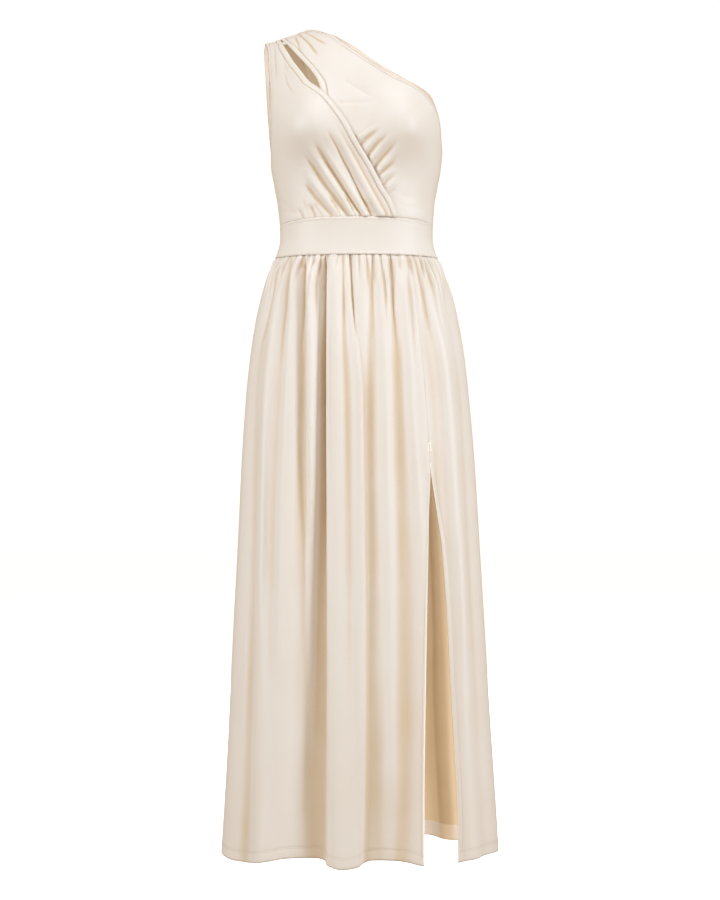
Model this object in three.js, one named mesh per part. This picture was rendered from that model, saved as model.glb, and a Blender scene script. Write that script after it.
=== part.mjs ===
import * as THREE from "three";

// One-shoulder maxi dress, kept in its worn hollow form.
// Built with x to the viewer's right, the front toward -y and the hem at z = 0, then moved so
// that the origin is where the strap rests on the shoulder. All sizes are in mm.

// Driving dimensions
const wall = 1.2;
const seamGap = 0.36;
const slantGap = 0.55;
const layerGap = 0.9;
const shoulderLevel = 1388;
const waistSeamLevel = 1077.5;
const bandFootLevel = 1014.5;
const slitTopLevel = 662;
const wrapBandWidth = 8.5;
const underBandWidth = 7.5;
const thinnestFlank = 6;
const restX = -128;
const gathersPerSide = 30;

// Tables: a row for each section, edge point or fold, with its column names first
function table(names, rows) {
  const keys = names.split(" ");
  return rows.map((row) => Object.fromEntries(keys.map((key, i) => [key, row[i]])));
}

// Sections of the dress: outline to the left and right, depth to the front and back,
// and how square the section is (2 is an ellipse). Above the underarm the sections are wider
// than the cloth, whose edges are cut from them.
const sections = table("level left right front back square", [
  [1388, -167, 147, 0.5, 0.5, 2.5],
  [1386.5, -167, 147, 13, 11, 2.5],
  [1383, -167, 147, 24, 21, 2.5],
  [1377, -166, 147, 35, 33, 2.5],
  [1368, -165, 147, 46, 45, 2.5],
  [1356, -164, 147, 56, 57, 2.55],
  [1340, -163, 147, 66, 69, 2.6],
  [1320, -161.5, 147, 76, 81, 2.6],
  [1298, -160, 147, 85, 90, 2.6],
  [1275, -158.5, 147, 92, 96, 2.5],
  [1250, -157, 147, 97, 100, 2.45],
  [1213, -153.5, 145.5, 100, 101, 2.35],
  [1186, -150, 142.8, 97, 98, 2.3],
  [1159, -146.2, 139.4, 93, 93, 2.25],
  [1132, -141.1, 134.3, 90, 87, 2.2],
  [1105, -136, 129.2, 88, 81, 2.2],
  [1077, -132.6, 127.5, 87, 78, 2.2],
  [1050, -132.6, 127.5, 86, 77, 2.2],
  [1023, -137.7, 132.6, 88, 80, 2.15],
  [1005, -145, 140, 92, 85, 2.15],
  [982, -154.7, 149.6, 100, 94, 2.1],
  [955, -163.2, 159.5, 107, 103, 2.1],
  [911, -173.4, 170, 114, 114, 2.1],
  [843, -183.6, 182, 121, 126, 2.1],
  [775, -190.4, 189.5, 126, 133, 2.1],
  [673, -197.2, 198, 130, 140, 2.1],
  [571, -202.3, 204.5, 134, 147, 2.1],
  [435, -209.1, 212.5, 139, 155, 2.1],
  [299, -215.9, 221, 143, 163, 2.1],
  [163, -222.7, 229.5, 147, 170, 2.1],
  [27, -231.2, 238, 150, 176, 2.1],
  [-10, -233.5, 239.5, 151, 178, 2.1],
]);

// Two soft bust forms that fill the front
const bustForms = table("x z out across high", [
  [-95, 1230, 27, 54, 50],
  [91, 1230, 27, 52, 50],
]);

// How much the shoulder line stands above the shoulder level, along x
const frontRise = table("x rise", [[-170, -11], [-148, -5], [-133, 0], [-113, 6], [-98, 11.5],
  [-60, 22], [0, 40], [80, 62], [160, 84]]);
const backRise = table("x rise", [[-170, -11], [-148, -5], [-133, 0], [-113, 6], [-98, 12],
  [-90, 18], [-82, 24], [-56, 27], [-20, 34], [60, 56], [160, 84]]);

// Edges as seen from the front: x and z
const armholeFront = table("x z", [[-158, 1381], [-154, 1368.8], [-151.5, 1352], [-150.2, 1332],
  [-147.6, 1290], [-147.2, 1250], [-147, 1212], [-146.6, 1190], [-147.6, 1172]]);
const armholeBack = table("x z", [[-158.5, 1381], [-160.5, 1368], [-160, 1352], [-158.5, 1317],
  [-155.1, 1262], [-151.5, 1218], [-148.4, 1190], [-147.6, 1172]]);
const neckFront = table("x z", [[-98, 1400], [-87, 1398.6], [-69, 1395.5], [-57, 1390.6],
  [-43, 1385], [-22, 1367.9], [-1.7, 1352.3], [22.3, 1335.2], [47.6, 1318.7], [67.9, 1305.8],
  [86, 1297.4], [103.5, 1288], [118.5, 1275.4], [130.3, 1260], [136.8, 1244.7], [139.6, 1226.7],
  [141.2, 1208], [142.4, 1197.5], [143.6, 1192]]);
const neckBack = table("x z", [[-98, 1400], [-90, 1404.7], [-82.3, 1408.4], [-70, 1408.2],
  [-56, 1405.8], [-41, 1402.5], [-21.6, 1395.5], [-0.9, 1385], [20, 1371.5], [41.8, 1358.5],
  [76.8, 1339], [101.1, 1324.7], [120, 1309.9], [129.8, 1294.8], [138.8, 1264], [141.6, 1232],
  [142, 1208], [142.6, 1197.5], [143.6, 1192]]);
const wrapEdge = table("x z", [[-133.4, 1388], [-120.5, 1362.5], [-108.1, 1340.2], [-93.4, 1319],
  [-80.6, 1301.7], [-68, 1292.1], [-49.6, 1275.8], [-36.3, 1258.1], [-24.7, 1241.9],
  [-1.6, 1201.4], [19.7, 1166.4], [40.4, 1128.2], [56.5, 1101.2], [66.1, 1077]]);
const underEdge = table("x z", [[-132.3, 1388.3], [-116.1, 1368.9], [-103.8, 1352.9],
  [-89.3, 1336.1], [-78.5, 1322.6], [-69.9, 1309.1], [-65.1, 1298.1], [-62.6, 1288],
  [-60.5, 1274], [-55, 1256], [-44, 1230], [-22, 1191], [0, 1154], [22, 1113], [40, 1077]]);

// The slit: right edge of the wide front panel and left edge of the narrow one
const slitLeft = table("x z", [[88.5, 1014], [99.6, 917], [109.7, 815], [117.5, 701.5],
  [119.8, 662], [116, 582], [112.4, 467], [109, 300], [106.5, 120], [106, 0]]);
const slitRight = table("x z", [[88.5, 1014], [99.6, 917], [109.7, 815], [117.5, 701.5],
  [119.8, 662], [131, 590], [139, 540], [149, 416], [153, 335], [160, 216], [165, 130],
  [167, 59], [167, 0]]);

// Height of the hem along x
const hemFront = table("x z", [[-234, 8], [-213, 4.5], [-193, 5.5], [-176, 8.5], [-158, 12.5],
  [-140, 16.5], [-120, 20], [-95, 21], [-70, 20.5], [-57, 17], [-50, 13], [-26, 9], [0, 12.5],
  [8, 17], [22, 20.5], [40, 20], [62, 18.5], [82, 16], [109, 11], [165, 9.5], [185, 13],
  [205, 14.5], [225, 14], [239, 12]]);
const hemBack = table("x z", [[-234, 8], [-200, 4], [-160, 6.5], [-120, 1.5], [-70, 5], [-20, 0],
  [30, 3.5], [75, 0.5], [120, 5], [170, 3], [210, 9], [239, 12]]);

// Long folds of the skirt. x1 to x5 are places from side to side and d1 to d5 the height of
// the fold (a hollow is negative) at levels 945, 775, 435, 163 and 10. The last four are the
// widths of its left and right flank at the top and at the hem.
const foldLevels = [945, 775, 435, 163, 10];
const foldNames = "x1 x2 x3 x4 x5 d1 d2 d3 d4 d5 leftTop rightTop leftLow rightLow";
const frontFolds = table(foldNames, [
  [-150, -176, -180, -188, -198, -1, -5, -6, -7, -8, 11, 10, 22, 20],
  [-137, -152, -160, -160, -160, 3, 5, 6, 7, 9, 8, 9, 18, 20],
  [-108, -115, -126, -131, -146, 4, 6, 7, 8, 8, 10, 12, 20, 24],
  [-90, -91, -95, -98, -98, -6, -11, -6, -6, -4, 12, 4, 34, 24],
  [-80, -76, -80, -84, -90, 4, 6, 4, 0, 0, 7, 7, 10, 10],
  [-55, -55.5, -55.5, -56.5, -58.5, -15, -25, -28, -25, -19, 13, 1.5, 44, 5],
  [-38, -38, -36, -34, -34, 4, 5, 6, 8, 10, 6, 12, 14, 24],
  [-26, -18, -10, -8, -8, -3, -2, -1, 0, 0, 8, 12, 12, 12],
  [-16, 5, 7, 4, 0, 3, 6, 7, 10, 12, 14, 3.5, 30, 8],
  [22, 22, 28, 34, 38, -4, -5.5, -5.5, -6, -7, 11, 16, 26, 30],
  [38, 46, 50, 52, 52, 2, 2, 2, 2, 2, 9, 9, 16, 16],
  [60, 66, 73, 78, 72, -5, -6.5, -6.5, -8, -8, 14, 15, 28, 26],
  [80, 88, 106, 108, 108, 4, 6, 7, 9, 11, 10, 12, 22, 22],
  [105, 132, 146, 163, 168, -3, -3.5, -3.5, -5, -6, 14, 14, 20, 20],
  [130, 153, 172, 183, 190, 3, 4, 6, 7, 8, 9, 9, 17, 17],
  [150, 175, 190, 202, 214, -2, -3, -3, -3, -4, 8, 9, 15, 16],
]);
const backFolds = table(foldNames, [
  [-152, -170, -186, -196, -204, -2, -4, -6, -7, -8, 8, 9, 16, 16],
  [-128, -144, -156, -166, -174, 3, 5, 7, 9, 10, 9, 10, 18, 20],
  [-100, -116, -128, -136, -142, -5, -9, -11, -11, -10, 14, 4, 30, 8],
  [-76, -86, -94, -100, -106, 4, 5, 7, 9, 11, 9, 10, 18, 22],
  [-50, -56, -58, -62, -66, -8, -17, -20, -17, -13, 3, 13, 7, 34],
  [-24, -28, -26, -24, -24, 4, 6, 8, 10, 12, 10, 12, 22, 26],
  [4, 4, 8, 12, 14, -5, -8, -9, -10, -10, 12, 10, 26, 24],
  [28, 32, 40, 46, 50, 4, 5, 7, 9, 11, 9, 10, 20, 22],
  [56, 64, 72, 78, 84, -8, -16, -18, -15, -12, 13, 3, 34, 7],
  [82, 94, 104, 112, 120, 4, 5, 8, 10, 11, 9, 11, 20, 24],
  [108, 124, 138, 150, 158, -4, -7, -8, -9, -9, 9, 12, 20, 24],
  [134, 154, 170, 182, 190, 3, 4, 6, 7, 8, 8, 9, 16, 18],
]);

// Shorter folds run from the waist seam down to a level where they fade
const shortNames = "xTop xEnd zEnd height left right";
const frontShortFolds = table(shortNames, [
  [-128, -168, 850, -5, 5, 5],
  [-112, -128, 830, -6, 5, 4],
  [-89, -94, 845, -7, 6, 2],
  [-72, -70, 870, -4, 4, 4],
  [-53, -56, 850, -6, 5, 2],
  [-25, -22, 860, -6, 6, 5],
  [-12, -4, 850, -7.5, 6, 4],
  [23, 25, 880, -5, 7, 4],
  [43, 49, 880, -4, 6, 5],
  [55, 64, 850, -6, 5, 4],
  [81, 95, 840, -6, 5, 5],
  [97, 124, 870, -4, 5, 5],
  [112, 150, 850, -4, 6, 6],
]);
const backShortFolds = table(shortNames, [
  [-122, -160, 830, -5, 6, 6],
  [-104, -124, 850, -5, 6, 5],
  [-84, -92, 800, -7, 6, 5],
  [-62, -68, 880, -4, 5, 4],
  [-40, -40, 820, -7, 5, 6],
  [-20, -22, 890, -4, 5, 4],
  [18, 22, 850, -6, 5, 6],
  [36, 44, 810, -7, 6, 5],
  [70, 84, 840, -6, 6, 5],
  [90, 110, 880, -4, 5, 5],
  [112, 146, 820, -6, 6, 6],
]);

// Drawn folds of the bodice, as lines from a low point to a high point with one bend
const bodiceFoldNames = "xa za xb zb xc zc out wide";
const wrapFolds = table(bodiceFoldNames, [
  [50, 1080, 22, 1128, -10, 1182, -3.6, 5],
  [36, 1080, -8, 1141, -55, 1224, -5.4, 5.5],
  [21, 1080, 8, 1104, -6, 1130, -2.8, 4.5],
  [5, 1080, -32, 1137, -76, 1203, -5.4, 5.5],
  [-5, 1080, -14, 1098, -24, 1116, -2.6, 4.5],
  [-17, 1080, -54, 1128, -95, 1188, -4.4, 5.5],
  [-45, 1080, -72, 1110, -92, 1137, -3, 5],
  [-71, 1079, -76, 1089, -82, 1100, -2.4, 5],
  [44, 1080, 8, 1136, -34, 1208, 2.8, 4.5],
  [15, 1080, -18, 1140, -66, 1214, 3.2, 5],
  [-7, 1080, -42, 1132, -85, 1196, 3, 5],
  [-32, 1080, -62, 1118, -93, 1162, 2, 5],
]);
const underFolds = table(bodiceFoldNames, [
  [2, 1199, 15, 1213, 33, 1225, -3.2, 5],
  [10, 1178, 30, 1197, 52, 1214, -4.2, 5],
  [25, 1155, 44, 1179, 70, 1200, -5.2, 5],
  [33, 1142, 44, 1148, 55, 1154, -2.4, 5],
  [44, 1121, 54, 1127, 65, 1134, -1.8, 5],
  [6, 1190, 26, 1208, 41, 1219, 1.5, 4],
  [17, 1168, 37, 1190, 57, 1208, 1.8, 4],
  [30, 1150, 51, 1172, 73, 1192, 2, 5],
]);
const backBodiceFolds = table(bodiceFoldNames, [
  [-96, 1080, -92, 1122, -78, 1168, -2.2, 9],
  [-60, 1080, -62, 1124, -54, 1172, 2, 9],
  [-26, 1080, -24, 1120, -16, 1160, -2.2, 9],
  [24, 1080, 24, 1122, 18, 1164, -2.2, 9],
  [60, 1080, 62, 1124, 60, 1170, 2, 9],
  [94, 1080, 92, 1120, 86, 1160, -2.2, 9],
]);

function clamp01(t) {
  return Math.min(1, Math.max(0, t));
}

function ease(from, to, value) {
  const t = clamp01((value - from) / (to - from));
  return t * t * (3 - 2 * t);
}

// A smooth curve through points that keeps to their ups and downs
function curve(points) {
  const list = [...points].sort((p, q) => p[0] - q[0]);
  const step = list.slice(1).map((p, i) => (p[1] - list[i][1]) / (p[0] - list[i][0]));
  const slope = list.map((p, i) => {
    const before = step[Math.max(0, i - 1)];
    const after = step[Math.min(step.length - 1, i)];
    return before * after <= 0 ? 0 : (2 * before * after) / (before + after);
  });
  return (at) => {
    let i = 0;
    while (i < list.length - 2 && at > list[i + 1][0]) i += 1;
    const width = list[i + 1][0] - list[i][0];
    const t = clamp01((at - list[i][0]) / width);
    const a = list[i][1];
    const b = list[i + 1][1];
    const bend = t * (1 - t);
    const ends = (1 - t) * slope[i] * width - t * slope[i + 1] * width;
    return a + (b - a) * t * t * (3 - 2 * t) + bend * ends;
  };
}

const shape = Object.fromEntries(["left", "right", "front", "back", "square"].map((key) =>
  [key, curve(sections.map((row) => [row.level, row[key]]))]));
const rise = {
  front: curve(frontRise.map((row) => [row.x, row.rise])),
  back: curve(backRise.map((row) => [row.x, row.rise])),
};

// Height of a level at x: upper levels follow the sloping shoulder and the waist seam dips
// toward the sides
function heightAt(side, x, level) {
  const up = rise[side](x) * ease(1180, shoulderLevel, level);
  const fromSeam = (level - waistSeamLevel) / 26;
  return level + up - 8 * Math.min(1, (x / 130) ** 4) * Math.exp(-fromSeam * fromSeam);
}

function levelAt(side, x, z) {
  let low = -40;
  let high = shoulderLevel;
  for (let i = 0; i < 40; i += 1) {
    const middle = (low + high) / 2;
    if (heightAt(side, x, middle) < z) low = middle;
    else high = middle;
  }
  return (low + high) / 2;
}

// An edge given as x and z becomes x by level
function edge(side, points) {
  return curve(points.map((p) => [levelAt(side, p.x, p.z), p.x]));
}

const edges = {
  armholeFront: edge("front", armholeFront),
  armholeBack: edge("back", armholeBack),
  neckFront: edge("front", neckFront),
  neckBack: edge("back", neckBack),
  wrap: edge("front", wrapEdge),
  under: edge("front", underEdge),
  slitLeft: edge("front", slitLeft),
  slitRight: edge("front", slitRight),
};
const hem = {
  front: curve(hemFront.map((p) => [p.x, p.z])),
  back: curve(hemBack.map((p) => [p.x, p.z])),
};

function preparedFolds(folds) {
  return folds.map((row) => ({
    place: curve(foldLevels.map((level, i) => [level, row["x" + (i + 1)]])),
    height: curve(foldLevels.map((level, i) => [level, row["d" + (i + 1)]])),
    row,
  }));
}
const skirtFolds = { front: preparedFolds(frontFolds), back: preparedFolds(backFolds) };

// Sections of a rounded ridge and of a crease, which is steep at its line and flatter further off
function ridge(apart, width) {
  return Math.exp(-((apart / width) ** 2));
}

function valley(apart, width) {
  return Math.exp(0.3 - Math.sqrt(0.09 + (apart / width / 0.8) ** 2));
}

function crossSection(height, apart, width) {
  return height * (height < 0 ? valley(apart, width) : ridge(apart, width));
}

function skirtFoldHeight(side, x, level) {
  const low = ease(900, 10, level);
  let sum = 0;
  for (const fold of skirtFolds[side]) {
    const f = fold.row;
    const apart = x - fold.place(level);
    const width = apart < 0 ? f.leftTop + (f.leftLow - f.leftTop) * low
      : f.rightTop + (f.rightLow - f.rightTop) * low;
    sum += fold.height(level) * ridge(apart, Math.max(width, thinnestFlank));
  }
  return sum * ease(bandFootLevel - 1, 980, level);
}

function shortFoldHeight(side, x, level) {
  let sum = 0;
  for (const f of side === "front" ? frontShortFolds : backShortFolds) {
    const along = (bandFootLevel - level) / (bandFootLevel - f.zEnd);
    const apart = x - f.xTop - (f.xEnd - f.xTop) * Math.min(along, 1.1);
    const fade = ease(0, 0.12, along) * ease(1.1, 0.45, along);
    sum += fade * crossSection(f.height, apart, apart < 0 ? f.left : f.right);
  }
  return sum;
}

// Gathers under the waistband, each with its own height and length, on a soft swell
function gatherHeight(side, phi, level) {
  const turn = 0.3 * Math.sin(phi * 9) + (side === "front" ? 0 : 7);
  const place = (phi / Math.PI) * gathersPerSide + turn;
  const index = Math.floor(place);
  const height = 3.9 * (1 + 0.34 * Math.sin(index * 2.4) + 0.2 * Math.sin(index * 5.3 + 1));
  const length = 62 * (1 + 0.34 * Math.sin(index * 1.7 + 0.6) + 0.2 * Math.sin(index * 4.1));
  const drop = bandFootLevel - level;
  const below = drop / length;
  const within = Math.abs(Math.sin(Math.PI * place)) ** (1 + ease(0, 0.8, below));
  const growth = 0.4 + 0.6 * ease(0, 0.16, below);
  const one = height * within * growth * (1 - ease(0.25, 1.25, below));
  const level0 = 0.55 * 3.9 * (1 - ease(0.25, 1.25, drop / 62));
  return one - level0 + 2.2 * ease(0, 9, drop) * ease(90, 10, drop);
}

function lineDistance(x, z, xa, za, xb, zb) {
  const dx = xb - xa;
  const dz = zb - za;
  const t = clamp01(((x - xa) * dx + (z - za) * dz) / (dx * dx + dz * dz));
  return { apart: Math.hypot(x - xa - t * dx, z - za - t * dz), t };
}

function bodiceFoldHeight(folds, x, z) {
  let sum = 0;
  for (const f of folds) {
    const low = lineDistance(x, z, f.xa, f.za, f.xb, f.zb);
    const high = lineDistance(x, z, f.xb, f.zb, f.xc, f.zc);
    const near = low.apart < high.apart ? low : high;
    const along = low.apart < high.apart ? low.t / 2 : 0.5 + high.t / 2;
    const fade = ease(1.02, 0.6, along);
    sum += fade * crossSection(f.out, near.apart, f.wide);
  }
  return sum;
}

// Outer surface of the cloth. phi runs from the right side seam (0) to the left one (pi).
function surface(side, phi, level, folds) {
  const left = shape.left(level);
  const right = shape.right(level);
  const middle = (left + right) / 2;
  const half = (right - left) / 2;
  const n = shape.square(level);
  const u = Math.cos(phi);
  const turn = phi < 0 || phi > Math.PI ? -1 : 1;
  const v = turn * Math.max(0, 1 - Math.abs(u) ** n) ** (1 / n);
  const depth = shape[side](level);
  const x = middle + half * u;
  const z = heightAt(side, x, level);
  let y = v * depth;
  if (side === "front") {
    for (const form of bustForms) {
      const across = (x - form.x) / form.across;
      const high = (z - form.z) / form.high;
      y += v * form.out * Math.exp(-across * across - high * high);
    }
  }
  // direction straight out of the section
  const nx = Math.sign(u) * Math.abs(u) ** (n - 1) / half;
  const ny = Math.abs(v) ** (n - 1) / Math.max(depth, 20);
  const size = Math.hypot(nx, ny);
  const out = folds ? folds(x, z, phi, level) * ease(0, 0.3, Math.abs(v)) : 0;
  const px = x + (out * nx) / size;
  const py = y + (out * turn * ny) / size;
  return new THREE.Vector3(px, side === "front" ? -py : py, z);
}

// Outward direction of the finished surface, from neighbouring points
function outward(side, phi, level, folds) {
  const turn = 0.004;
  const lift = 0.8;
  const top = Math.min(shoulderLevel, level + lift);
  const across = surface(side, phi - turn, level, folds).sub(surface(side, phi + turn, level, folds));
  const up = surface(side, phi, top, folds).sub(surface(side, phi, level - lift, folds));
  const normal = across.cross(up).normalize();
  if (level > shoulderLevel - 0.1) normal.setY(0).normalize();
  const fromSeams = Math.min(Math.abs(level - bandFootLevel), Math.abs(level - waistSeamLevel));
  if (fromSeams < 1) normal.setZ(0).normalize();
  return side === "front" ? normal : normal.negate();
}

function angleAt(level, x) {
  const left = shape.left(level);
  const right = shape.right(level);
  const u = (x - (left + right) / 2) / ((right - left) / 2);
  return Math.acos(Math.min(1, Math.max(-1, u)));
}

// A small turn away from the side seams, so that the panels stay a seam gap apart
function seamTurn(side, level) {
  const n = shape.square(level);
  const v = seamGap / 2 / Math.max(20, shape[side](level));
  return Math.acos(Math.min(1, (1 - v ** n) ** (1 / n)));
}

// First and last angle of a panel. from and to give x by level, or null for a side seam.
function ends(plan, level) {
  const seam = seamTurn(plan.side, level);
  return [
    Math.min(Math.PI - seam, plan.from ? angleAt(level, plan.from(level)) : 9),
    Math.max(seam, plan.to ? angleAt(level, plan.to(level)) : 0),
  ];
}

// Spreads the columns of a folded panel by the length of its cloth instead of by the angle
function columnSpread(plan) {
  if (!plan.spreadLevels) return (t) => t;
  const samples = 600;
  const longest = new Array(samples).fill(0);
  for (const level of plan.spreadLevels) {
    const [start, end] = ends(plan, level);
    const line = [];
    for (let i = 0; i <= samples; i += 1) {
      line.push(surface(plan.side, start + ((end - start) * i) / samples, level, plan.folds));
    }
    const steps = line.slice(1).map((p, i) => p.distanceTo(line[i]));
    const whole = steps.reduce((sum, step) => sum + step, 0);
    steps.forEach((step, i) => {
      longest[i] = Math.max(longest[i], step / whole);
    });
  }
  let sum = 0;
  const reached = [0, ...longest.map((step) => (sum += step))];
  return (t) => {
    const wanted = t * sum;
    let i = 0;
    while (i < samples - 1 && reached[i + 1] < wanted) i += 1;
    return (i + (wanted - reached[i]) / (reached[i + 1] - reached[i])) / samples;
  };
}

// Rows of points of a panel
function panelRows(plan) {
  const spread = columnSpread(plan);
  return plan.levels.map((entry) => {
    const level = typeof entry === "number" ? entry : entry.level;
    const count = entry.count ?? plan.count;
    const [start, end] = ends(plan, level);
    const row = [];
    for (let i = 0; i <= count; i += 1) {
      const phi = start + (end - start) * spread(i / count);
      let at = level;
      if (entry.hem) {
        at = hem[plan.side](surface(plan.side, phi, 12, null).x);
      }
      const outer = surface(plan.side, phi, at, plan.folds);
      const normal = outward(plan.side, phi, at, plan.folds);
      const lift = plan.lift ? plan.lift(outer.x, at) : 0;
      row.push({
        outer: outer.clone().addScaledVector(normal, lift),
        inner: outer.clone().addScaledVector(normal, lift - wall),
      });
    }
    return row;
  });
}

// A closed wall from rows of paired points. A row may have half as many steps as the next.
function shell(name, rows) {
  const positions = [];
  const faces = [];
  const outer = rows.map((row) => row.map((p) => positions.push(p.outer) - 1));
  const inner = rows.map((row) => row.map((p) => positions.push(p.inner) - 1));
  const quad = (a, b, c, d) => faces.push([a, b, c], [a, c, d]);
  const strip = (low, high, flip) => {
    const add = (a, b, c) => faces.push(flip ? [a, c, b] : [a, b, c]);
    if (low.length === high.length) {
      for (let i = 0; i + 1 < low.length; i += 1) {
        add(low[i], low[i + 1], high[i + 1]);
        add(low[i], high[i + 1], high[i]);
      }
      return;
    }
    const fine = low.length > high.length ? low : high;
    const coarse = low.length > high.length ? high : low;
    const order = low.length > high.length ? add : (a, b, c) => add(a, c, b);
    for (let i = 0; i + 1 < coarse.length; i += 1) {
      order(fine[2 * i], fine[2 * i + 1], coarse[i]);
      order(fine[2 * i + 1], coarse[i + 1], coarse[i]);
      order(fine[2 * i + 1], fine[2 * i + 2], coarse[i + 1]);
    }
  };
  for (let j = 0; j + 1 < rows.length; j += 1) {
    strip(outer[j], outer[j + 1], false);
    strip(inner[j], inner[j + 1], true);
    const last = [outer[j].length - 1, outer[j + 1].length - 1];
    quad(outer[j][0], outer[j + 1][0], inner[j + 1][0], inner[j][0]);
    quad(outer[j][last[0]], inner[j][last[0]], inner[j + 1][last[1]], outer[j + 1][last[1]]);
  }
  const top = rows.length - 1;
  for (let i = 0; i + 1 < outer[0].length; i += 1) {
    quad(outer[0][i], inner[0][i], inner[0][i + 1], outer[0][i + 1]);
  }
  for (let i = 0; i + 1 < outer[top].length; i += 1) {
    quad(outer[top][i], outer[top][i + 1], inner[top][i + 1], inner[top][i]);
  }
  const volume = faces.reduce((sum, [a, b, c]) =>
    sum + positions[a].dot(positions[b].clone().cross(positions[c])) / 6, 0);
  const order = volume < 0 ? faces.map(([a, b, c]) => [a, c, b]) : faces;
  const geometry = new THREE.BufferGeometry();
  geometry.setAttribute("position",
    new THREE.Float32BufferAttribute(positions.flatMap((p) => [p.x, p.y, p.z]), 3));
  geometry.setIndex(order.flat());
  geometry.computeVertexNormals();
  const material = new THREE.MeshStandardMaterial({
    name,
    color: 0xece0cf,
    roughness: 0.62,
    metalness: 0,
  });
  const mesh = new THREE.Mesh(geometry, material);
  mesh.name = name;
  return mesh;
}

// The wrap lies on the under layer, so it stands out by one wall and a gap where they overlap
function wrapLift(x, level) {
  const inside = edges.under(level) - x;
  const spread = ease(52, 5, inside);
  return (wall + layerGap) * spread * ease(1352, 1322, level);
}

// Folds of the bodice grow out of the waist seam
function fromSeam(level) {
  return 0.3 + 0.7 * ease(0, 10, level - waistSeamLevel);
}

// Folds end before the overlap, where both layers follow the same form
function wrapFoldHeight(x, z, phi, level) {
  const free = ease(-1, 10, edges.under(level) - x);
  return bodiceFoldHeight(wrapFolds, x, z) * free * fromSeam(level);
}

function underFoldHeight(x, z, phi, level) {
  const free = ease(0, 8, x - edges.wrap(level));
  return bodiceFoldHeight(underFolds, x, z) * free;
}

function backFoldHeight(x, z, phi, level) {
  return bodiceFoldHeight(backBodiceFolds, x, z) * fromSeam(level);
}

const bodiceLevels = [waistSeamLevel + seamGap / 2, 1090, 1106, 1124, 1144, 1163, 1179, 1192,
  1206, 1222, 1240, 1258, 1276, 1294, 1311, 1327, 1342, 1356, 1367, 1375, 1381, 1385, 1387.2,
  shoulderLevel];
const backLevels = [waistSeamLevel + seamGap / 2, 1094, 1114, 1136, 1160, 1178, 1192, 1208, 1228,
  1250, 1272, 1294, 1314, 1332, 1348, 1361, 1371, 1379, 1384, 1387.2, shoulderLevel];

function armholeOr(edgeCurve) {
  return (level) => (level < 1171 ? shape.left(level) : edgeCurve(level));
}

function neckOr(edgeCurve) {
  return (level) => (level < 1190 ? shape.right(level) : edgeCurve(level));
}

function frontWrap() {
  return shell("front_wrap", panelRows({
    side: "front",
    levels: bodiceLevels,
    count: 24,
    from: armholeOr(edges.armholeFront),
    to: (level) => edges.wrap(level) - bandSpan(wrapBandWidth, level) - slantGap,
    folds: wrapFoldHeight,
    lift: wrapLift,
  }));
}

// Bands keep their width across, so their span along x is longer where the edge slants
function bandSpan(width, level) {
  const slant = (edges.wrap(Math.min(level + 6, shoulderLevel)) - edges.wrap(level - 6)) / 12;
  return width * (level > 1370 ? 0.85 : Math.min(1.5, Math.hypot(1, slant)));
}

function wrapBand() {
  return shell("wrap_band", panelRows({
    side: "front",
    levels: bodiceLevels,
    count: 2,
    from: (level) => edges.wrap(level) - bandSpan(wrapBandWidth, level),
    to: edges.wrap,
    folds: wrapFoldHeight,
    lift: wrapLift,
  }));
}

function underBand() {
  return shell("under_band", panelRows({
    side: "front",
    levels: bodiceLevels,
    count: 2,
    from: edges.under,
    to: (level) => edges.under(level) + bandSpan(underBandWidth, level),
    folds: underFoldHeight,
  }));
}

function frontUnder() {
  return shell("front_under", panelRows({
    side: "front",
    levels: bodiceLevels,
    count: 20,
    from: (level) => edges.under(level) + bandSpan(underBandWidth, level) + slantGap,
    to: neckOr(edges.neckFront),
    folds: underFoldHeight,
  }));
}

function bodiceBack() {
  return shell("bodice_back", panelRows({
    side: "back",
    levels: backLevels,
    count: 20,
    from: armholeOr(edges.armholeBack),
    to: neckOr(edges.neckBack),
    folds: backFoldHeight,
  }));
}

// A small tab behind the two bands holds the keyhole closed near its top
function keyholeTab() {
  return shell("keyhole_tab", panelRows({
    side: "front",
    levels: [1372, 1375, 1378.5],
    count: 4,
    from: (level) => edges.wrap(level) - 4,
    to: (level) => edges.under(level) + 4,
    folds: null,
    lift: () => -wall - 0.4,
  }));
}

function waistband(side) {
  const foot = bandFootLevel + seamGap / 2;
  const head = waistSeamLevel - seamGap / 2;
  const levels = [0, 0.33, 0.67, 1].map((t) => foot + (head - foot) * t);
  return shell("waistband_" + side, panelRows({ side, levels, count: 26, from: null, to: null }));
}

// Skirt panels have twice as many steps in the gathers as below them
function skirtLevels(count) {
  const fine = [bandFootLevel - seamGap / 2, 1004, 987, 961, 928];
  const coarse = [892, 838, 768, slitTopLevel, 560, 430, 300, 170, 70];
  const rows = [
    { level: 12, hem: true, count },
    ...coarse.reverse().map((level) => ({ level, count })),
    ...fine.reverse().map((level) => ({ level, count: 2 * count })),
  ];
  return rows;
}

function skirtFoldSum(side) {
  return (x, z, phi, level) => skirtFoldHeight(side, x, level) + shortFoldHeight(side, x, level)
    + gatherHeight(side, phi, level);
}

function skirtFront() {
  return shell("skirt_front", panelRows({
    side: "front",
    levels: skirtLevels(51),
    from: null,
    to: edges.slitLeft,
    folds: skirtFoldSum("front"),
    spreadLevels: [990, 930, 870, 775, 600, 435, 300, 163, 30],
  }));
}

function skirtFrontSide() {
  return shell("skirt_front_side", panelRows({
    side: "front",
    levels: skirtLevels(14),
    from: (level) => edges.slitRight(level) + seamGap * 1.1,
    to: null,
    folds: skirtFoldSum("front"),
    spreadLevels: [990, 930, 870, 775, 600, 435, 300, 163, 30],
  }));
}

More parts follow.
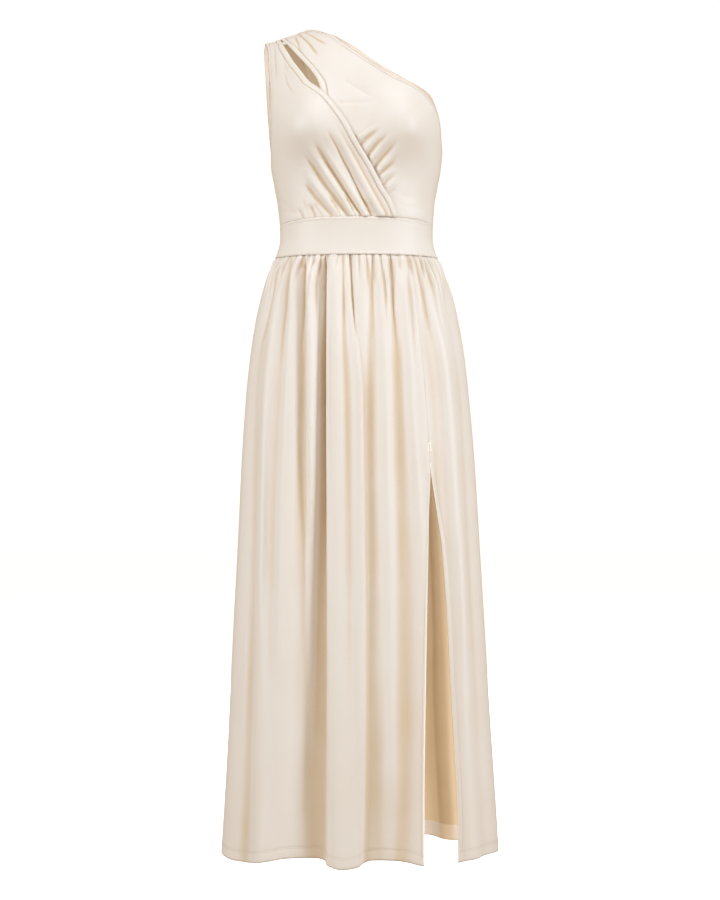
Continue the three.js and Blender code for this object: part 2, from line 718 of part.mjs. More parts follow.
function skirtBack() {
  return shell("skirt_back", panelRows({
    side: "back",
    levels: skirtLevels(60),
    from: null,
    to: null,
    folds: skirtFoldSum("back"),
    spreadLevels: [990, 930, 870, 775, 600, 435, 300, 163, 30],
  }));
}

const dress = new THREE.Group();
dress.name = "one_shoulder_dress";
const held = new THREE.Group();
const rest = surface("front", angleAt(shoulderLevel, restX), shoulderLevel, null);
held.position.set(-rest.x, 0, -(rest.z - wall));
held.add(
  frontWrap(),
  wrapBand(),
  frontUnder(),
  underBand(),
  keyholeTab(),
  bodiceBack(),
  waistband("front"),
  waistband("back"),
  skirtFront(),
  skirtFrontSide(),
  skirtBack(),
);
dress.add(held);

export default dress;
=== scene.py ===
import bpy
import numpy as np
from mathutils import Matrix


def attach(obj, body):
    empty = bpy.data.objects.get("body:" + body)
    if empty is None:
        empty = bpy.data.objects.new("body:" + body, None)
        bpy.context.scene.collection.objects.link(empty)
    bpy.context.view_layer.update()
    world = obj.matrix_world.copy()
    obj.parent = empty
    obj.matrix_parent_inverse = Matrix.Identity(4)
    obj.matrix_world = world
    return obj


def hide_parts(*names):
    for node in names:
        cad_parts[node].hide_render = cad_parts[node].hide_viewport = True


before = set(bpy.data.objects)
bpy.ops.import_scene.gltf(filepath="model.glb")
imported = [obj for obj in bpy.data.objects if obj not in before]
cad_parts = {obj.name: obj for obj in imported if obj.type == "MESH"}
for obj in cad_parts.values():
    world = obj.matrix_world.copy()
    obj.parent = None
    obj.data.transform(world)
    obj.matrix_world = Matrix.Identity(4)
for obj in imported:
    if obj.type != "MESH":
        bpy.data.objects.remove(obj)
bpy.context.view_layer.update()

# %% [markdown]
# # A one-shoulder dress in cream jersey
#
# The real dress is cut from a fine jersey with a soft shine: a wrap bodice that hangs from one
# shoulder, a smooth waistband, and a long gathered skirt with a slit. Cloth like this can be
# simulated, sculpted or drawn. Here it is drawn: every panel is a grid of points on one smooth
# form, and small tables add the folds, so that each fold lies where the photograph shows it.
# Sizes are in mm: x to the viewer's right, y away from the viewer, z up from the hem line.

# %% Driving sizes
WALL = 1.2  # thickness of the solids
CLOTH = 0.8  # thickness of the drawn cloth
SEAM_GAP = 0.12  # between two panels at a level or upright seam
SLANT_GAP = 0.25  # between a bodice front and its band
LAYER_GAP = 0.9  # between the wrap and the layer under it
SHOULDER = 1388  # levels, up from the hem line
WAIST_SEAM = 1077.5
BAND_FOOT = 1014.5
SLIT_TOP = 662
WRAP_BAND = 8.5  # widths of the two edge bands
UNDER_BAND = 7.5
REST_X = -128  # where the strap rests
GATHERS = 30  # gathers across the front, and as many across the back
GATHER_DEEP = 3.9
GATHER_LONG = 62
BACK_SHIFT = 7  # sets the back's gathers apart from the front's
FOLD_GROWTH = 1.2  # the drawn cloth folds a little deeper than the solids
BAND_LIFT = 2.2  # how far the wrap's band stands out over the fold beside it
HEM_TURN = 18  # width of the turned hem
print("cloth", CLOTH, "mm thick on solids of", WALL, "mm")

# %% [markdown]
# ## The form
#
# A filled dress has a soft form of its own: narrow at the waist, wide at the hem, and rounded
# over the bust by its cut. It could be lofted through curves by hand. A table of sections is
# easier to measure and to change, so each row gives a level from the shoulder down to the hem,
# the outline to the left and right, the depth to the front and back, and how square it is.
# The bust is two soft swellings, and the shoulder line rises towards the neck.

# %% Sections
SECTIONS = np.array([
    # level left right front back square
    (1388, -167, 147, 0.5, 0.5, 2.5),
    (1386.5, -167, 147, 13, 11, 2.5),
    (1383, -167, 147, 24, 21, 2.5),
    (1377, -166, 147, 35, 33, 2.5),
    (1368, -165, 147, 46, 45, 2.5),
    (1356, -164, 147, 56, 57, 2.55),
    (1340, -163, 147, 66, 69, 2.6),
    (1320, -161.5, 147, 76, 81, 2.6),
    (1298, -160, 147, 85, 90, 2.6),
    (1275, -158.5, 147, 92, 96, 2.5),
    (1250, -157, 147, 97, 100, 2.45),
    (1213, -153.5, 145.5, 100, 101, 2.35),
    (1186, -150, 142.8, 97, 98, 2.3),
    (1159, -146.2, 139.4, 93, 93, 2.25),
    (1132, -141.1, 134.3, 90, 87, 2.2),
    (1105, -136, 129.2, 88, 81, 2.2),
    (1077, -132.6, 127.5, 87, 78, 2.2),
    (1050, -132.6, 127.5, 86, 77, 2.2),
    (1023, -137.7, 132.6, 88, 80, 2.15),
    (1005, -145, 140, 92, 85, 2.15),
    (982, -154.7, 149.6, 100, 94, 2.1),
    (955, -163.2, 159.5, 107, 103, 2.1),
    (911, -173.4, 170, 114, 114, 2.1),
    (843, -183.6, 182, 121, 126, 2.1),
    (775, -190.4, 189.5, 126, 133, 2.1),
    (673, -197.2, 198, 130, 140, 2.1),
    (571, -202.3, 204.5, 134, 147, 2.1),
    (435, -209.1, 212.5, 139, 155, 2.1),
    (299, -215.9, 221, 143, 163, 2.1),
    (163, -222.7, 229.5, 147, 170, 2.1),
    (27, -231.2, 238, 150, 176, 2.1),
    (-10, -233.5, 239.5, 151, 178, 2.1),
])

BUST = [
    # x z out across high
    (-95, 1230, 27, 54, 50),
    (91, 1230, 27, 52, 50),
]

RISE = {
    # x, rise of the shoulder line
    "front": [(-170, -11), (-148, -5), (-133, 0), (-113, 6), (-98, 11.5), (-60, 22), (0, 40),
              (80, 62), (160, 84)],
    "back": [(-170, -11), (-148, -5), (-133, 0), (-113, 6), (-98, 12), (-90, 18), (-82, 24),
             (-56, 27), (-20, 34), (60, 56), (160, 84)],
}

print("sections:", len(SECTIONS), "at z from", SECTIONS[0][0], "to", SECTIONS[-1][0], "mm")

# %% [markdown]
# Neck, armhole, the two crossing fronts, slit and hem are edges of the cut. They could be cut
# out of the form with Booleans, but then the grid would end in slivers, and the folds with it.
# So each edge is a line of points seen from the front, as x and z, and the panels end on it.

# %% Edges
ARMHOLE_FRONT = [(-158, 1381), (-154, 1368.8), (-151.5, 1352), (-150.2, 1332), (-147.6, 1290),
                 (-147.2, 1250), (-147, 1212), (-146.6, 1190), (-147.6, 1172)]
ARMHOLE_BACK = [(-158.5, 1381), (-160.5, 1368), (-160, 1352), (-158.5, 1317), (-155.1, 1262),
                (-151.5, 1218), (-148.4, 1190), (-147.6, 1172)]
NECK_FRONT = [(-98, 1400), (-87, 1398.6), (-69, 1395.5), (-57, 1390.6), (-43, 1385), (-22, 1367.9),
              (-1.7, 1352.3), (22.3, 1335.2), (47.6, 1318.7), (67.9, 1305.8), (86, 1297.4),
              (103.5, 1288), (118.5, 1275.4), (130.3, 1260), (136.8, 1244.7), (139.6, 1226.7),
              (141.2, 1208), (142.4, 1197.5), (143.6, 1192)]
NECK_BACK = [(-98, 1400), (-90, 1404.7), (-82.3, 1408.4), (-70, 1408.2), (-56, 1405.8),
             (-41, 1402.5), (-21.6, 1395.5), (-0.9, 1385), (20, 1371.5), (41.8, 1358.5),
             (76.8, 1339), (101.1, 1324.7), (120, 1309.9), (129.8, 1294.8), (138.8, 1264),
             (141.6, 1232), (142, 1208), (142.6, 1197.5), (143.6, 1192)]
WRAP_EDGE = [(-133.4, 1388), (-120.5, 1362.5), (-108.1, 1340.2), (-93.4, 1319), (-80.6, 1301.7),
             (-68, 1292.1), (-49.6, 1275.8), (-36.3, 1258.1), (-24.7, 1241.9), (-1.6, 1201.4),
             (19.7, 1166.4), (40.4, 1128.2), (56.5, 1101.2), (66.1, 1077)]
UNDER_EDGE = [(-132.3, 1388.3), (-116.1, 1368.9), (-103.8, 1352.9), (-89.3, 1336.1),
              (-78.5, 1322.6), (-69.9, 1309.1), (-65.1, 1298.1), (-62.6, 1288), (-60.5, 1274),
              (-55, 1256), (-44, 1230), (-22, 1191), (0, 1154), (22, 1113), (40, 1077)]
SLIT_LEFT = [(88.5, 1014), (99.6, 917), (109.7, 815), (117.5, 701.5), (119.8, 662), (116, 582),
             (112.4, 467), (109, 300), (106.5, 120), (106, 0)]
SLIT_RIGHT = [(88.5, 1014), (99.6, 917), (109.7, 815), (117.5, 701.5), (119.8, 662), (131, 590),
              (139, 540), (149, 416), (153, 335), (160, 216), (165, 130), (167, 59), (167, 0)]
HEM = {
    "front": [(-234, 8), (-213, 4.5), (-193, 5.5), (-176, 8.5), (-158, 12.5), (-140, 16.5),
              (-120, 20), (-95, 21), (-70, 20.5), (-57, 17), (-50, 13), (-26, 9), (0, 12.5),
              (8, 17), (22, 20.5), (40, 20), (62, 18.5), (82, 16), (109, 11), (165, 9.5),
              (185, 13), (205, 14.5), (225, 14), (239, 12)],
    "back": [(-234, 8), (-200, 4), (-160, 6.5), (-120, 1.5), (-70, 5), (-20, 0), (30, 3.5),
             (75, 0.5), (120, 5), (170, 3), (210, 9), (239, 12)],
}

# %% [markdown]
# ## The folds
#
# The skirt hangs in long folds that start at the waist and widen down to the hem. A cloth
# simulation makes such folds, but not the ones of the photograph. So each fold is a row: five
# places from side to side and five heights (a hollow is negative) at the fold levels, then
# the widths of its left and right flank at the top and at the hem.

# %% Long folds of the skirt
FOLD_LEVELS = [945, 775, 435, 163, 10]
SKIRT_FOLDS = {"front": [
    # x1 x2 x3 x4 x5 d1 d2 d3 d4 d5 left_top right_top left_low right_low
    (-150, -176, -180, -188, -198, -1, -5, -6, -7, -8, 11, 10, 22, 20),
    (-137, -152, -160, -160, -160, 3, 5, 6, 7, 9, 8, 9, 18, 20),
    (-108, -115, -126, -131, -146, 4, 6, 7, 8, 8, 10, 12, 20, 24),
    (-90, -91, -95, -98, -98, -6, -11, -6, -6, -4, 12, 4, 34, 24),
    (-80, -76, -80, -84, -90, 4, 6, 4, 0, 0, 7, 7, 10, 10),
    (-55, -55.5, -55.5, -56.5, -58.5, -15, -25, -28, -25, -19, 13, 1.5, 44, 5),
    (-38, -38, -36, -34, -34, 4, 5, 6, 8, 10, 6, 12, 14, 24),
    (-26, -18, -10, -8, -8, -3, -2, -1, 0, 0, 8, 12, 12, 12),
    (-16, 5, 7, 4, 0, 3, 6, 7, 10, 12, 14, 3.5, 30, 8),
    (22, 22, 28, 34, 38, -4, -5.5, -5.5, -6, -7, 11, 16, 26, 30),
    (38, 46, 50, 52, 52, 2, 2, 2, 2, 2, 9, 9, 16, 16),
    (60, 66, 73, 78, 72, -5, -6.5, -6.5, -8, -8, 14, 15, 28, 26),
    (80, 88, 106, 108, 108, 4, 6, 7, 9, 11, 10, 12, 22, 22),
    (105, 132, 146, 163, 168, -3, -3.5, -3.5, -5, -6, 14, 14, 20, 20),
    (130, 153, 172, 183, 190, 3, 4, 6, 7, 8, 9, 9, 17, 17),
    (150, 175, 190, 202, 214, -2, -3, -3, -3, -4, 8, 9, 15, 16),
], "back": [
    (-152, -170, -186, -196, -204, -2, -4, -6, -7, -8, 8, 9, 16, 16),
    (-128, -144, -156, -166, -174, 3, 5, 7, 9, 10, 9, 10, 18, 20),
    (-100, -116, -128, -136, -142, -5, -9, -11, -11, -10, 14, 4, 30, 8),
    (-76, -86, -94, -100, -106, 4, 5, 7, 9, 11, 9, 10, 18, 22),
    (-50, -56, -58, -62, -66, -8, -17, -20, -17, -13, 3, 13, 7, 34),
    (-24, -28, -26, -24, -24, 4, 6, 8, 10, 12, 10, 12, 22, 26),
    (4, 4, 8, 12, 14, -5, -8, -9, -10, -10, 12, 10, 26, 24),
    (28, 32, 40, 46, 50, 4, 5, 7, 9, 11, 9, 10, 20, 22),
    (56, 64, 72, 78, 84, -8, -16, -18, -15, -12, 13, 3, 34, 7),
    (82, 94, 104, 112, 120, 4, 5, 8, 10, 11, 9, 11, 20, 24),
    (108, 124, 138, 150, 158, -4, -7, -8, -9, -9, 9, 12, 20, 24),
    (134, 154, 170, 182, 190, 3, 4, 6, 7, 8, 8, 9, 16, 18),
]}

print("long folds:", {side: len(rows) for side, rows in SKIRT_FOLDS.items()})

# %% [markdown]
# Between the long folds, shorter ones start under the waistband, where the cloth is pushed
# together, and fade lower down. Each row says where one starts and ends, how high it is, and
# how wide its flanks are.

# %% Short folds of the skirt
SHORT_FOLDS = {"front": [
    # x_top x_end z_end height left right
    (-128, -168, 850, -5, 5, 5),
    (-112, -128, 830, -6, 5, 4),
    (-89, -94, 845, -7, 6, 2),
    (-72, -70, 870, -4, 4, 4),
    (-53, -56, 850, -6, 5, 2),
    (-25, -22, 860, -6, 6, 5),
    (-12, -4, 850, -7.5, 6, 4),
    (23, 25, 880, -5, 7, 4),
    (43, 49, 880, -4, 6, 5),
    (55, 64, 850, -6, 5, 4),
    (81, 95, 840, -6, 5, 5),
    (97, 124, 870, -4, 5, 5),
    (112, 150, 850, -4, 6, 6),
], "back": [
    (-122, -160, 830, -5, 6, 6),
    (-104, -124, 850, -5, 6, 5),
    (-84, -92, 800, -7, 6, 5),
    (-62, -68, 880, -4, 5, 4),
    (-40, -40, 820, -7, 5, 6),
    (-20, -22, 890, -4, 5, 4),
    (18, 22, 850, -6, 5, 6),
    (36, 44, 810, -7, 6, 5),
    (70, 84, 840, -6, 6, 5),
    (90, 110, 880, -4, 5, 5),
    (112, 146, 820, -6, 6, 6),
]}

print("short folds:", {side: len(rows) for side, rows in SHORT_FOLDS.items()})

# %% [markdown]
# The folds of the wrap fan up from the waist seam, which holds the cloth together, and a second
# fan comes out from under the wrap's edge. Folds can be painted as a bump, but these are deep
# enough to throw shadows. So each one is drawn as a line from a low point over a bend to a
# high point, where it fades, with its height and width.

# %% Folds of the bodice
BODICE_FOLDS = {
    # xa za xb zb xc zc out wide
    "wrap": [
    (52, 1080, 24, 1122, -22, 1205, -4.6, 6.5),
    (33, 1080, 26, 1094, 18, 1110, -2.6, 3.5),
    (21, 1080, -16, 1156, -54, 1222, -5.4, 5.5),
    (5, 1080, -32, 1137, -76, 1203, -5.4, 5.5),
    (-5, 1080, -14, 1098, -24, 1116, -2.6, 4.5),
    (-17, 1080, -54, 1128, -95, 1188, -4.4, 5.5),
    (-45, 1080, -72, 1110, -92, 1137, -3, 5),
    (-71, 1079, -76, 1089, -82, 1100, -2.4, 5),
    (38, 1080, 9, 1131, -43, 1228, 3.4, 5),
    (12, 1080, -24, 1138, -68, 1206, 3.2, 5),
    (-7, 1080, -42, 1132, -85, 1196, 3, 5),
    (-32, 1080, -62, 1118, -93, 1162, 2, 5),
], "under": [
    (-4, 1187, 16, 1206, 38, 1224, -2.2, 4.5),
    (4, 1165, 31, 1194, 58, 1220, -2.8, 4.5),
    (14, 1143, 43, 1176, 74, 1210, -4.2, 4.8),
    (24, 1137, 46, 1156, 66, 1170, -1.7, 4),
    (33, 1122, 52, 1139, 68, 1151, -1.2, 4),
    (42, 1108, 60, 1123, 74, 1133, -0.8, 4),
    (-1, 1203, 14, 1213, 40, 1229, 2.2, 4.5),
    (10, 1183, 24, 1199, 46, 1219, 2.0, 4),
    (20, 1168, 37, 1190, 62, 1216, 2.6, 4.2),
    (32, 1152, 50, 1169, 78, 1203, 2.6, 4.8),
    (38, 1140, 48, 1147, 66, 1160, 1.4, 4),
    (47, 1125, 54, 1131, 68, 1143, 1.0, 4),
], "back": [
    (-96, 1080, -92, 1122, -78, 1168, -2.2, 9),
    (-60, 1080, -62, 1124, -54, 1172, 2, 9),
    (-26, 1080, -24, 1120, -16, 1160, -2.2, 9),
    (24, 1080, 24, 1122, 18, 1164, -2.2, 9),
    (60, 1080, 62, 1124, 60, 1170, 2, 9),
    (94, 1080, 92, 1120, 86, 1160, -2.2, 9),
]}

print("bodice folds:", {name: len(rows) for name, rows in BODICE_FOLDS.items()})

# %% [markdown]
# Puckers at the shoulder, thin creases across the chest and lit ridges along the skirt are a
# millimetre or two high. They are drawn in the same way, but only the cloth has them, because
# the solids below are too coarse for them.

# %% Fine creases
FINE = {
    # xa za xb zb xc zc out wide
    "wrap": [
    (-142, 1380, -139, 1340, -134, 1290, -1.2, 4.5),
    (-133, 1378, -124, 1344, -113, 1306, -1.3, 4.5),
    (-150, 1376, -148, 1345, -146, 1310, -0.6, 3.5),
    (-126, 1330, -118, 1300, -100, 1270, -0.7, 4),
    (-92, 1078, -96, 1086, -101, 1094, -1.6, 3),
    (-84, 1080, -88, 1095, -92, 1112, -0.9, 3.5),
    (-60, 1080, -68, 1092, -76, 1106, -1.6, 3),
    (-29, 1080, -38, 1096, -50, 1114, -2.2, 3),
    (28, 1080, 20, 1094, 10, 1110, -2.2, 2.8),
    (-11, 1080, -20, 1098, -32, 1120, 1.6, 2.6),
    (0, 1080, -10, 1096, -22, 1116, 1.6, 2.6),
    (13, 1080, 2, 1098, -8, 1118, 1.6, 2.6),
    (29, 1080, 16, 1104, 2, 1132, 1.6, 2.6),
    (43, 1080, 32, 1098, 20, 1122, -2.0, 2.6),
    (-132, 1092, -112, 1088, -96, 1080, -0.8, 5),
    (-134, 1112, -116, 1096, -98, 1082, -0.7, 5),
], "skirt": [
    (-162, 330, -158, 600, -156, 820, 1.5, 4),
    (2, 30, 5, 400, 6, 770, 1.7, 4),
    (-133, 280, -126, 440, -124, 600, 1.6, 7),
    (180, 300, 175, 440, 170, 600, 1.5, 7),
    (-196, 160, -190, 300, -184, 480, 1.2, 6),
    (-96, 120, -92, 260, -90, 420, 1.2, 8),
    (54, 100, 52, 260, 50, 520, 1.2, 8),
    (108, 700, 117, 707, 125, 698, -1.3, 2.6),
], "under": [
    (-28, 1264, 4, 1264, 38, 1268, -1.2, 2.2),
    (-18, 1300, 6, 1286, 32, 1268, -1.0, 9),
    (-105, 1386, -99, 1364, -90, 1344, -1.6, 4),
    (-99, 1392, -83, 1372, -64, 1344, -2.1, 4.2),
    (-88, 1394, -68, 1378, -48, 1366, -1.6, 4.6),
    (60, 1120, 80, 1112, 104, 1108, -0.6, 6),
    (72, 1098, 92, 1094, 114, 1096, -0.6, 5),
], "back": [
    (-142, 1380, -136, 1340, -128, 1290, -1.1, 5),
    (-126, 1384, -116, 1340, -100, 1290, -1.3, 6),
    (-106, 1390, -92, 1350, -70, 1300, -1.3, 7),
    (-118, 1130, -90, 1118, -60, 1112, -0.8, 6),
    (118, 1140, 86, 1122, 50, 1114, -0.9, 7),
    (-40, 1096, 0, 1092, 40, 1096, -0.7, 6),
]}

# %% [markdown]
# ## Small tools
#
# Cloth has no hard steps, so everything is eased. One tool draws a smooth curve through points
# and keeps to their ups and downs, where a common spline would swing past them. The others are
# an eased step and a soft bump.

# %% Curves and steps
def curve(points):
    x, y = np.array(sorted(points), float).T
    step = np.diff(y) / np.diff(x)
    before, after = np.r_[step[0], step], np.r_[step, step[-1]]
    total = np.where(before + after == 0, 1, before + after)
    slope = np.where(before * after <= 0, 0, 2 * before * after / total)

    def at(q):
        q = np.asarray(q, float)
        i = np.clip(np.searchsorted(x, q) - 1, 0, len(x) - 2)
        width = x[i + 1] - x[i]
        t = np.clip((q - x[i]) / width, 0, 1)
        bend = (1 - t) * slope[i] * width - t * slope[i + 1] * width
        return y[i] + (y[i + 1] - y[i]) * t * t * (3 - 2 * t) + t * (1 - t) * bend

    return at


def ease(start, stop, value):
    t = np.clip((value - start) / (stop - start), 0, 1)
    return t * t * (3 - 2 * t)


def bell(distance, width):
    return np.exp(-(distance / width) ** 2)


# %% [markdown]
# Now the tables become curves. A row of a panel is a level, not a height, because the shoulder
# line rises towards the neck and the waist seam dips at the sides. So each edge point first
# has to find its level, which is done by halving the span until it fits.

# %% From tables to curves
shape = dict(zip(("left", "right", "front", "back", "square"),
                 (curve(list(zip(SECTIONS[:, 0], column))) for column in SECTIONS[:, 1:].T)))
rise = {side: curve(points) for side, points in RISE.items()}
hem = {side: curve(points) for side, points in HEM.items()}


def height_at(side, x, level):
    """The height above the hem line of a point on a level."""
    up = rise[side](x) * ease(1180, SHOULDER, level)
    dip = 8 * np.minimum(1, (x / 130) ** 4) * bell(level - WAIST_SEAM, 26)
    return level + up - dip


def level_at(side, x, z):
    """The level on which a point at a height lies."""
    low, high = -40.0, float(SHOULDER)
    for _ in range(40):
        middle = (low + high) / 2
        if height_at(side, x, middle) < z:
            low = middle
        else:
            high = middle
    return (low + high) / 2


def edge(side, points):
    """An edge as a curve from level to x."""
    return curve([(level_at(side, x, z), x) for x, z in points])


armhole = {"front": edge("front", ARMHOLE_FRONT), "back": edge("back", ARMHOLE_BACK)}
neck = {"front": edge("front", NECK_FRONT), "back": edge("back", NECK_BACK)}
wrap_edge, under_edge = edge("front", WRAP_EDGE), edge("front", UNDER_EDGE)
slit_left, slit_right = edge("front", SLIT_LEFT), edge("front", SLIT_RIGHT)
rest_z = float(height_at("front", REST_X, SHOULDER)) - WALL
print("the strap rests at z =", round(rest_z, 1), "mm above the hem line")

# %% [markdown]
# ## Fold heights
#
# Each function gives the height of the folds at a place on the form. A displacement map could
# do that too, but a function can ease a fold into a seam and widen it downwards, and its
# numbers stay in mm.

# %% Fold functions
def valley(apart, width):
    """The section of a crease: steep at its line and flatter further off."""
    return np.exp(0.3 - np.sqrt(0.09 + (apart / width / 0.8) ** 2))


skirt_curves = {side: [(curve(list(zip(FOLD_LEVELS, row[:5]))),
                        curve(list(zip(FOLD_LEVELS, row[5:10]))), row[10:])
                       for row in rows] for side, rows in SKIRT_FOLDS.items()}


def long_folds(side, x, level):
    """Folds that run from the waist to the hem; low is 0 at the top and 1 at the hem."""
    total = np.zeros_like(x)
    low = ease(900, 10, level)
    for place, height, (left_top, right_top, left_low, right_low) in skirt_curves[side]:
        apart = x - place(level)
        width = np.where(apart < 0, left_top + (left_low - left_top) * low,
                         right_top + (right_low - right_top) * low)
        total += height(level) * bell(apart, width)
    return total * ease(BAND_FOOT + 4, 985, level)


def short_folds(side, x, level):
    """Folds that fade below the waist."""
    total = np.zeros_like(x)
    for x_top, x_end, z_end, height, left, right in SHORT_FOLDS[side]:
        along = (BAND_FOOT - level) / (BAND_FOOT - z_end)
        apart = x - x_top - (x_end - x_top) * np.minimum(along, 1.1)
        width = np.where(apart < 0, left, right)
        total += height * valley(apart, width) * ease(-0.02, 0.06, along) * ease(1.1, 0.45, along)
    return total


# %% [markdown]
# The skirt is gathered on a thread before it is sewn to the waistband, and stands in small
# pipes there. Each pipe has its own height and length, worked out from its number, because
# even waves would look like a pleating machine's work.

# %% Gathers
def gathers(side, phi, level):
    """Small gathers under the waist seam, of uneven height and length."""
    drop = BAND_FOOT - level
    place = phi / np.pi * GATHERS + 0.3 * np.sin(phi * 9) + (0 if side == "front" else BACK_SHIFT)
    index = np.floor(place)
    height = GATHER_DEEP * (1 + 0.34 * np.sin(index * 2.4) + 0.2 * np.sin(index * 5.3 + 1))
    length = GATHER_LONG * (1 + 0.34 * np.sin(index * 1.7 + 0.6) + 0.2 * np.sin(index * 4.1))
    below = drop / length
    within = np.abs(np.sin(np.pi * place)) ** (1 + ease(0, 0.8, below))
    growth = 0.6 + 0.4 * ease(0, 0.12, below)
    waves = height * within * growth * (1 - ease(0.25, 1.25, below))
    middle = 0.55 * GATHER_DEEP * (1 - ease(0.25, 1.25, drop / GATHER_LONG))
    swell = 2.2 * ease(0, 9, drop) * ease(90, 10, drop)
    return waves - middle + swell


# %% [markdown]
# A drawn fold needs to know how far each point lies from its line. The hollows of the wrap must
# stay clear of the layer below, and its ridges can run on to the band at its edge, so the two
# fade apart from each other.

# %% Drawn folds
def segment(x, z, xa, za, xb, zb):
    """The distance to a straight line, and how far along it the nearest point lies."""
    dx, dz = xb - xa, zb - za
    t = np.clip(((x - xa) * dx + (z - za) * dz) / (dx * dx + dz * dz), 0, 1)
    return np.hypot(x - xa - t * dx, z - za - t * dz), t


def drawn(rows, x, z, start=0.0, fade=0.6):
    """The sum of the folds of a table; each starts within start and fades from fade on."""
    total = np.zeros_like(x)
    for xa, za, xb, zb, xc, zc, out, wide in rows:
        low, t_low = segment(x, z, xa, za, xb, zb)
        high, t_high = segment(x, z, xb, zb, xc, zc)
        along = np.where(low < high, t_low / 2, 0.5 + t_high / 2)
        near = np.minimum(low, high)
        section = valley(near, wide) if out < 0 else bell(near, wide)
        total += out * ease(1.02, fade, along) * ease(-0.01, start, along) * section
    return total


def wrap_lift(x, level):
    """The wrap moves outwards where it lies on the under layer."""
    inside = under_edge(level) - x
    return (WALL + LAYER_GAP) * ease(52, 5, inside) * ease(1352, 1322, level)


def from_seam(level):
    """Folds are a little flatter where the waist seam holds them."""
    return 0.7 + 0.3 * ease(0, 8, level - WAIST_SEAM)


def pits_and_ridges(name):
    """The rows of a table that go in, and those that go out."""
    rows = BODICE_FOLDS[name]
    return [row for row in rows if row[6] < 0], [row for row in rows if row[6] > 0]


def wrap_folds(x, z, phi, level):
    """Pits stay clear of the layer below, ridges run on to the edge band."""
    pits, ridges = pits_and_ridges("wrap")
    from_edge = wrap_edge(level) - x
    band = BAND_LIFT * bell(from_edge - 5, 8) * ease(1290, 1230, level)
    low = drawn(pits, x, z) * ease(-1, 10, under_edge(level) - x)
    high = drawn(ridges, x, z) * ease(2, 12, from_edge)
    return (FOLD_GROWTH * (low + high) + band) * from_seam(level)


def under_folds(x, z, phi, level):
    """A fan of folds that comes out from under the wrap; its ridges start past the edge."""
    pits, ridges = pits_and_ridges("under")
    past_edge = x - wrap_edge(level)
    low = drawn(pits, x, z, fade=0.25) * ease(-10, -2, past_edge)
    high = drawn(ridges, x, z, fade=0.25) * ease(0, 7, past_edge)
    return FOLD_GROWTH * (low + high)


def back_folds(x, z, phi, level):
    return drawn(BODICE_FOLDS["back"], x, z) * from_seam(level)


def skirt_folds(side):
    def height(x, z, phi, level):
        return long_folds(side, x, level) + short_folds(side, x, level) + gathers(side, phi, level)

    return height


# %% [markdown]
# ## The surface
#
# Each section is a rounded box, because a filled dress is wider than it is deep and has no
# corners. phi runs from the right side seam (0) round the front or back to the left one (pi).
# The folds push the surface out along its level normal, so that a seam line stays level.

# %% Points on the form
def surface(side, phi, level, folds=None):
    """Points of the form, moved out by the folds along its level normal."""
    left, right = shape["left"](level), shape["right"](level)
    middle, half, n = (left + right) / 2, (right - left) / 2, shape["square"](level)
    u = np.cos(phi)
    v = np.maximum(0, 1 - np.abs(u) ** n) ** (1 / n)
    depth = shape[side](level)
    x = middle + half * u
    z = height_at(side, x, level)
    y = v * depth
    if side == "front":
        for bx, bz, out, across, high in BUST:
            y = y + v * out * bell(x - bx, across) * bell(z - bz, high)
    nx = np.sign(u) * np.abs(u) ** (n - 1) / half
    ny = v ** (n - 1) / np.maximum(depth, 20)
    size = np.hypot(nx, ny)
    out = folds(x, z, phi, level) * ease(0, 0.3, v) if folds else 0
    px, py = x + out * nx / size, y + out * ny / size
    return np.stack([px, -py if side == "front" else py, z + 0 * px], axis=-1)


def angle_at(level, x):
    """The phi at which the form's section reaches x."""
    left, right = shape["left"](level), shape["right"](level)
    return np.arccos(np.clip((x - (left + right) / 2) / ((right - left) / 2), -1, 1))


def seam_turn(side, level):
    """How far phi stops before a side seam, for half of the gap."""
    n = shape["square"](level)
    v = SEAM_GAP / 2 / np.maximum(20, shape[side](level))
    return np.arccos(np.minimum(1, (1 - v ** n) ** (1 / n)))


def unit(a):
    """Vectors of length 1."""
    return a / np.maximum(np.linalg.norm(a, axis=-1, keepdims=True), 1e-9)


def normals(points, side):
    """Outward normals of a grid."""
    across, up = np.gradient(points, axis=1), np.gradient(points, axis=0)
    n = unit(np.cross(across, up))
    return n if side == "front" else -n


def from_edges(points):
    """Distances along the grid lines to the left, right, lower and upper edge."""
    across = np.linalg.norm(np.diff(points, axis=1), axis=-1)
    up = np.linalg.norm(np.diff(points, axis=0), axis=-1)
    left = np.pad(np.cumsum(across, axis=1), ((0, 0), (1, 0)))
    low = np.pad(np.cumsum(up, axis=0), ((1, 0), (0, 0)))
    return dict(left=left, right=left[:, -1:] - left, low=low, high=low[-1:] - low)


waist = surface("front", np.linspace(0, np.pi, 200)[None, :], np.full((1, 200), WAIST_SEAM))
print("half way round the waist, mm:", round(float(from_edges(waist)["left"].max())))


# %% [markdown]
# ## Panels
#
# A maker cuts panels, turns their edges and sews them together. A panel here is a grid that
# runs from one edge to the other, so it ends exactly on its seam. Its points crowd together
# near the edges, where turned edges and rolled seams need room. After the folds come small
# heights along the true normal. An edge is rolled, piped, rounded or turned, and its number is
# the depth or the width of that.

# %% Panels
SLIT_LINES = {"right": 1.3, "left": 0.5}  # width of the line of light on each slit edge
# The dark line on neck and armhole is a painted shadow.
NECK_SHADOW = 1.2  # width of the dark line on neck and armhole


def crowded(count, reach=0.03, extra=5):
    """Places from 0 to 1 with extra ones within reach of both ends."""
    near = reach * (np.arange(extra) / extra) ** 1.5
    return np.r_[near, np.linspace(reach, 1 - reach, count - 2 * extra + 1), 1 - near[::-1]]


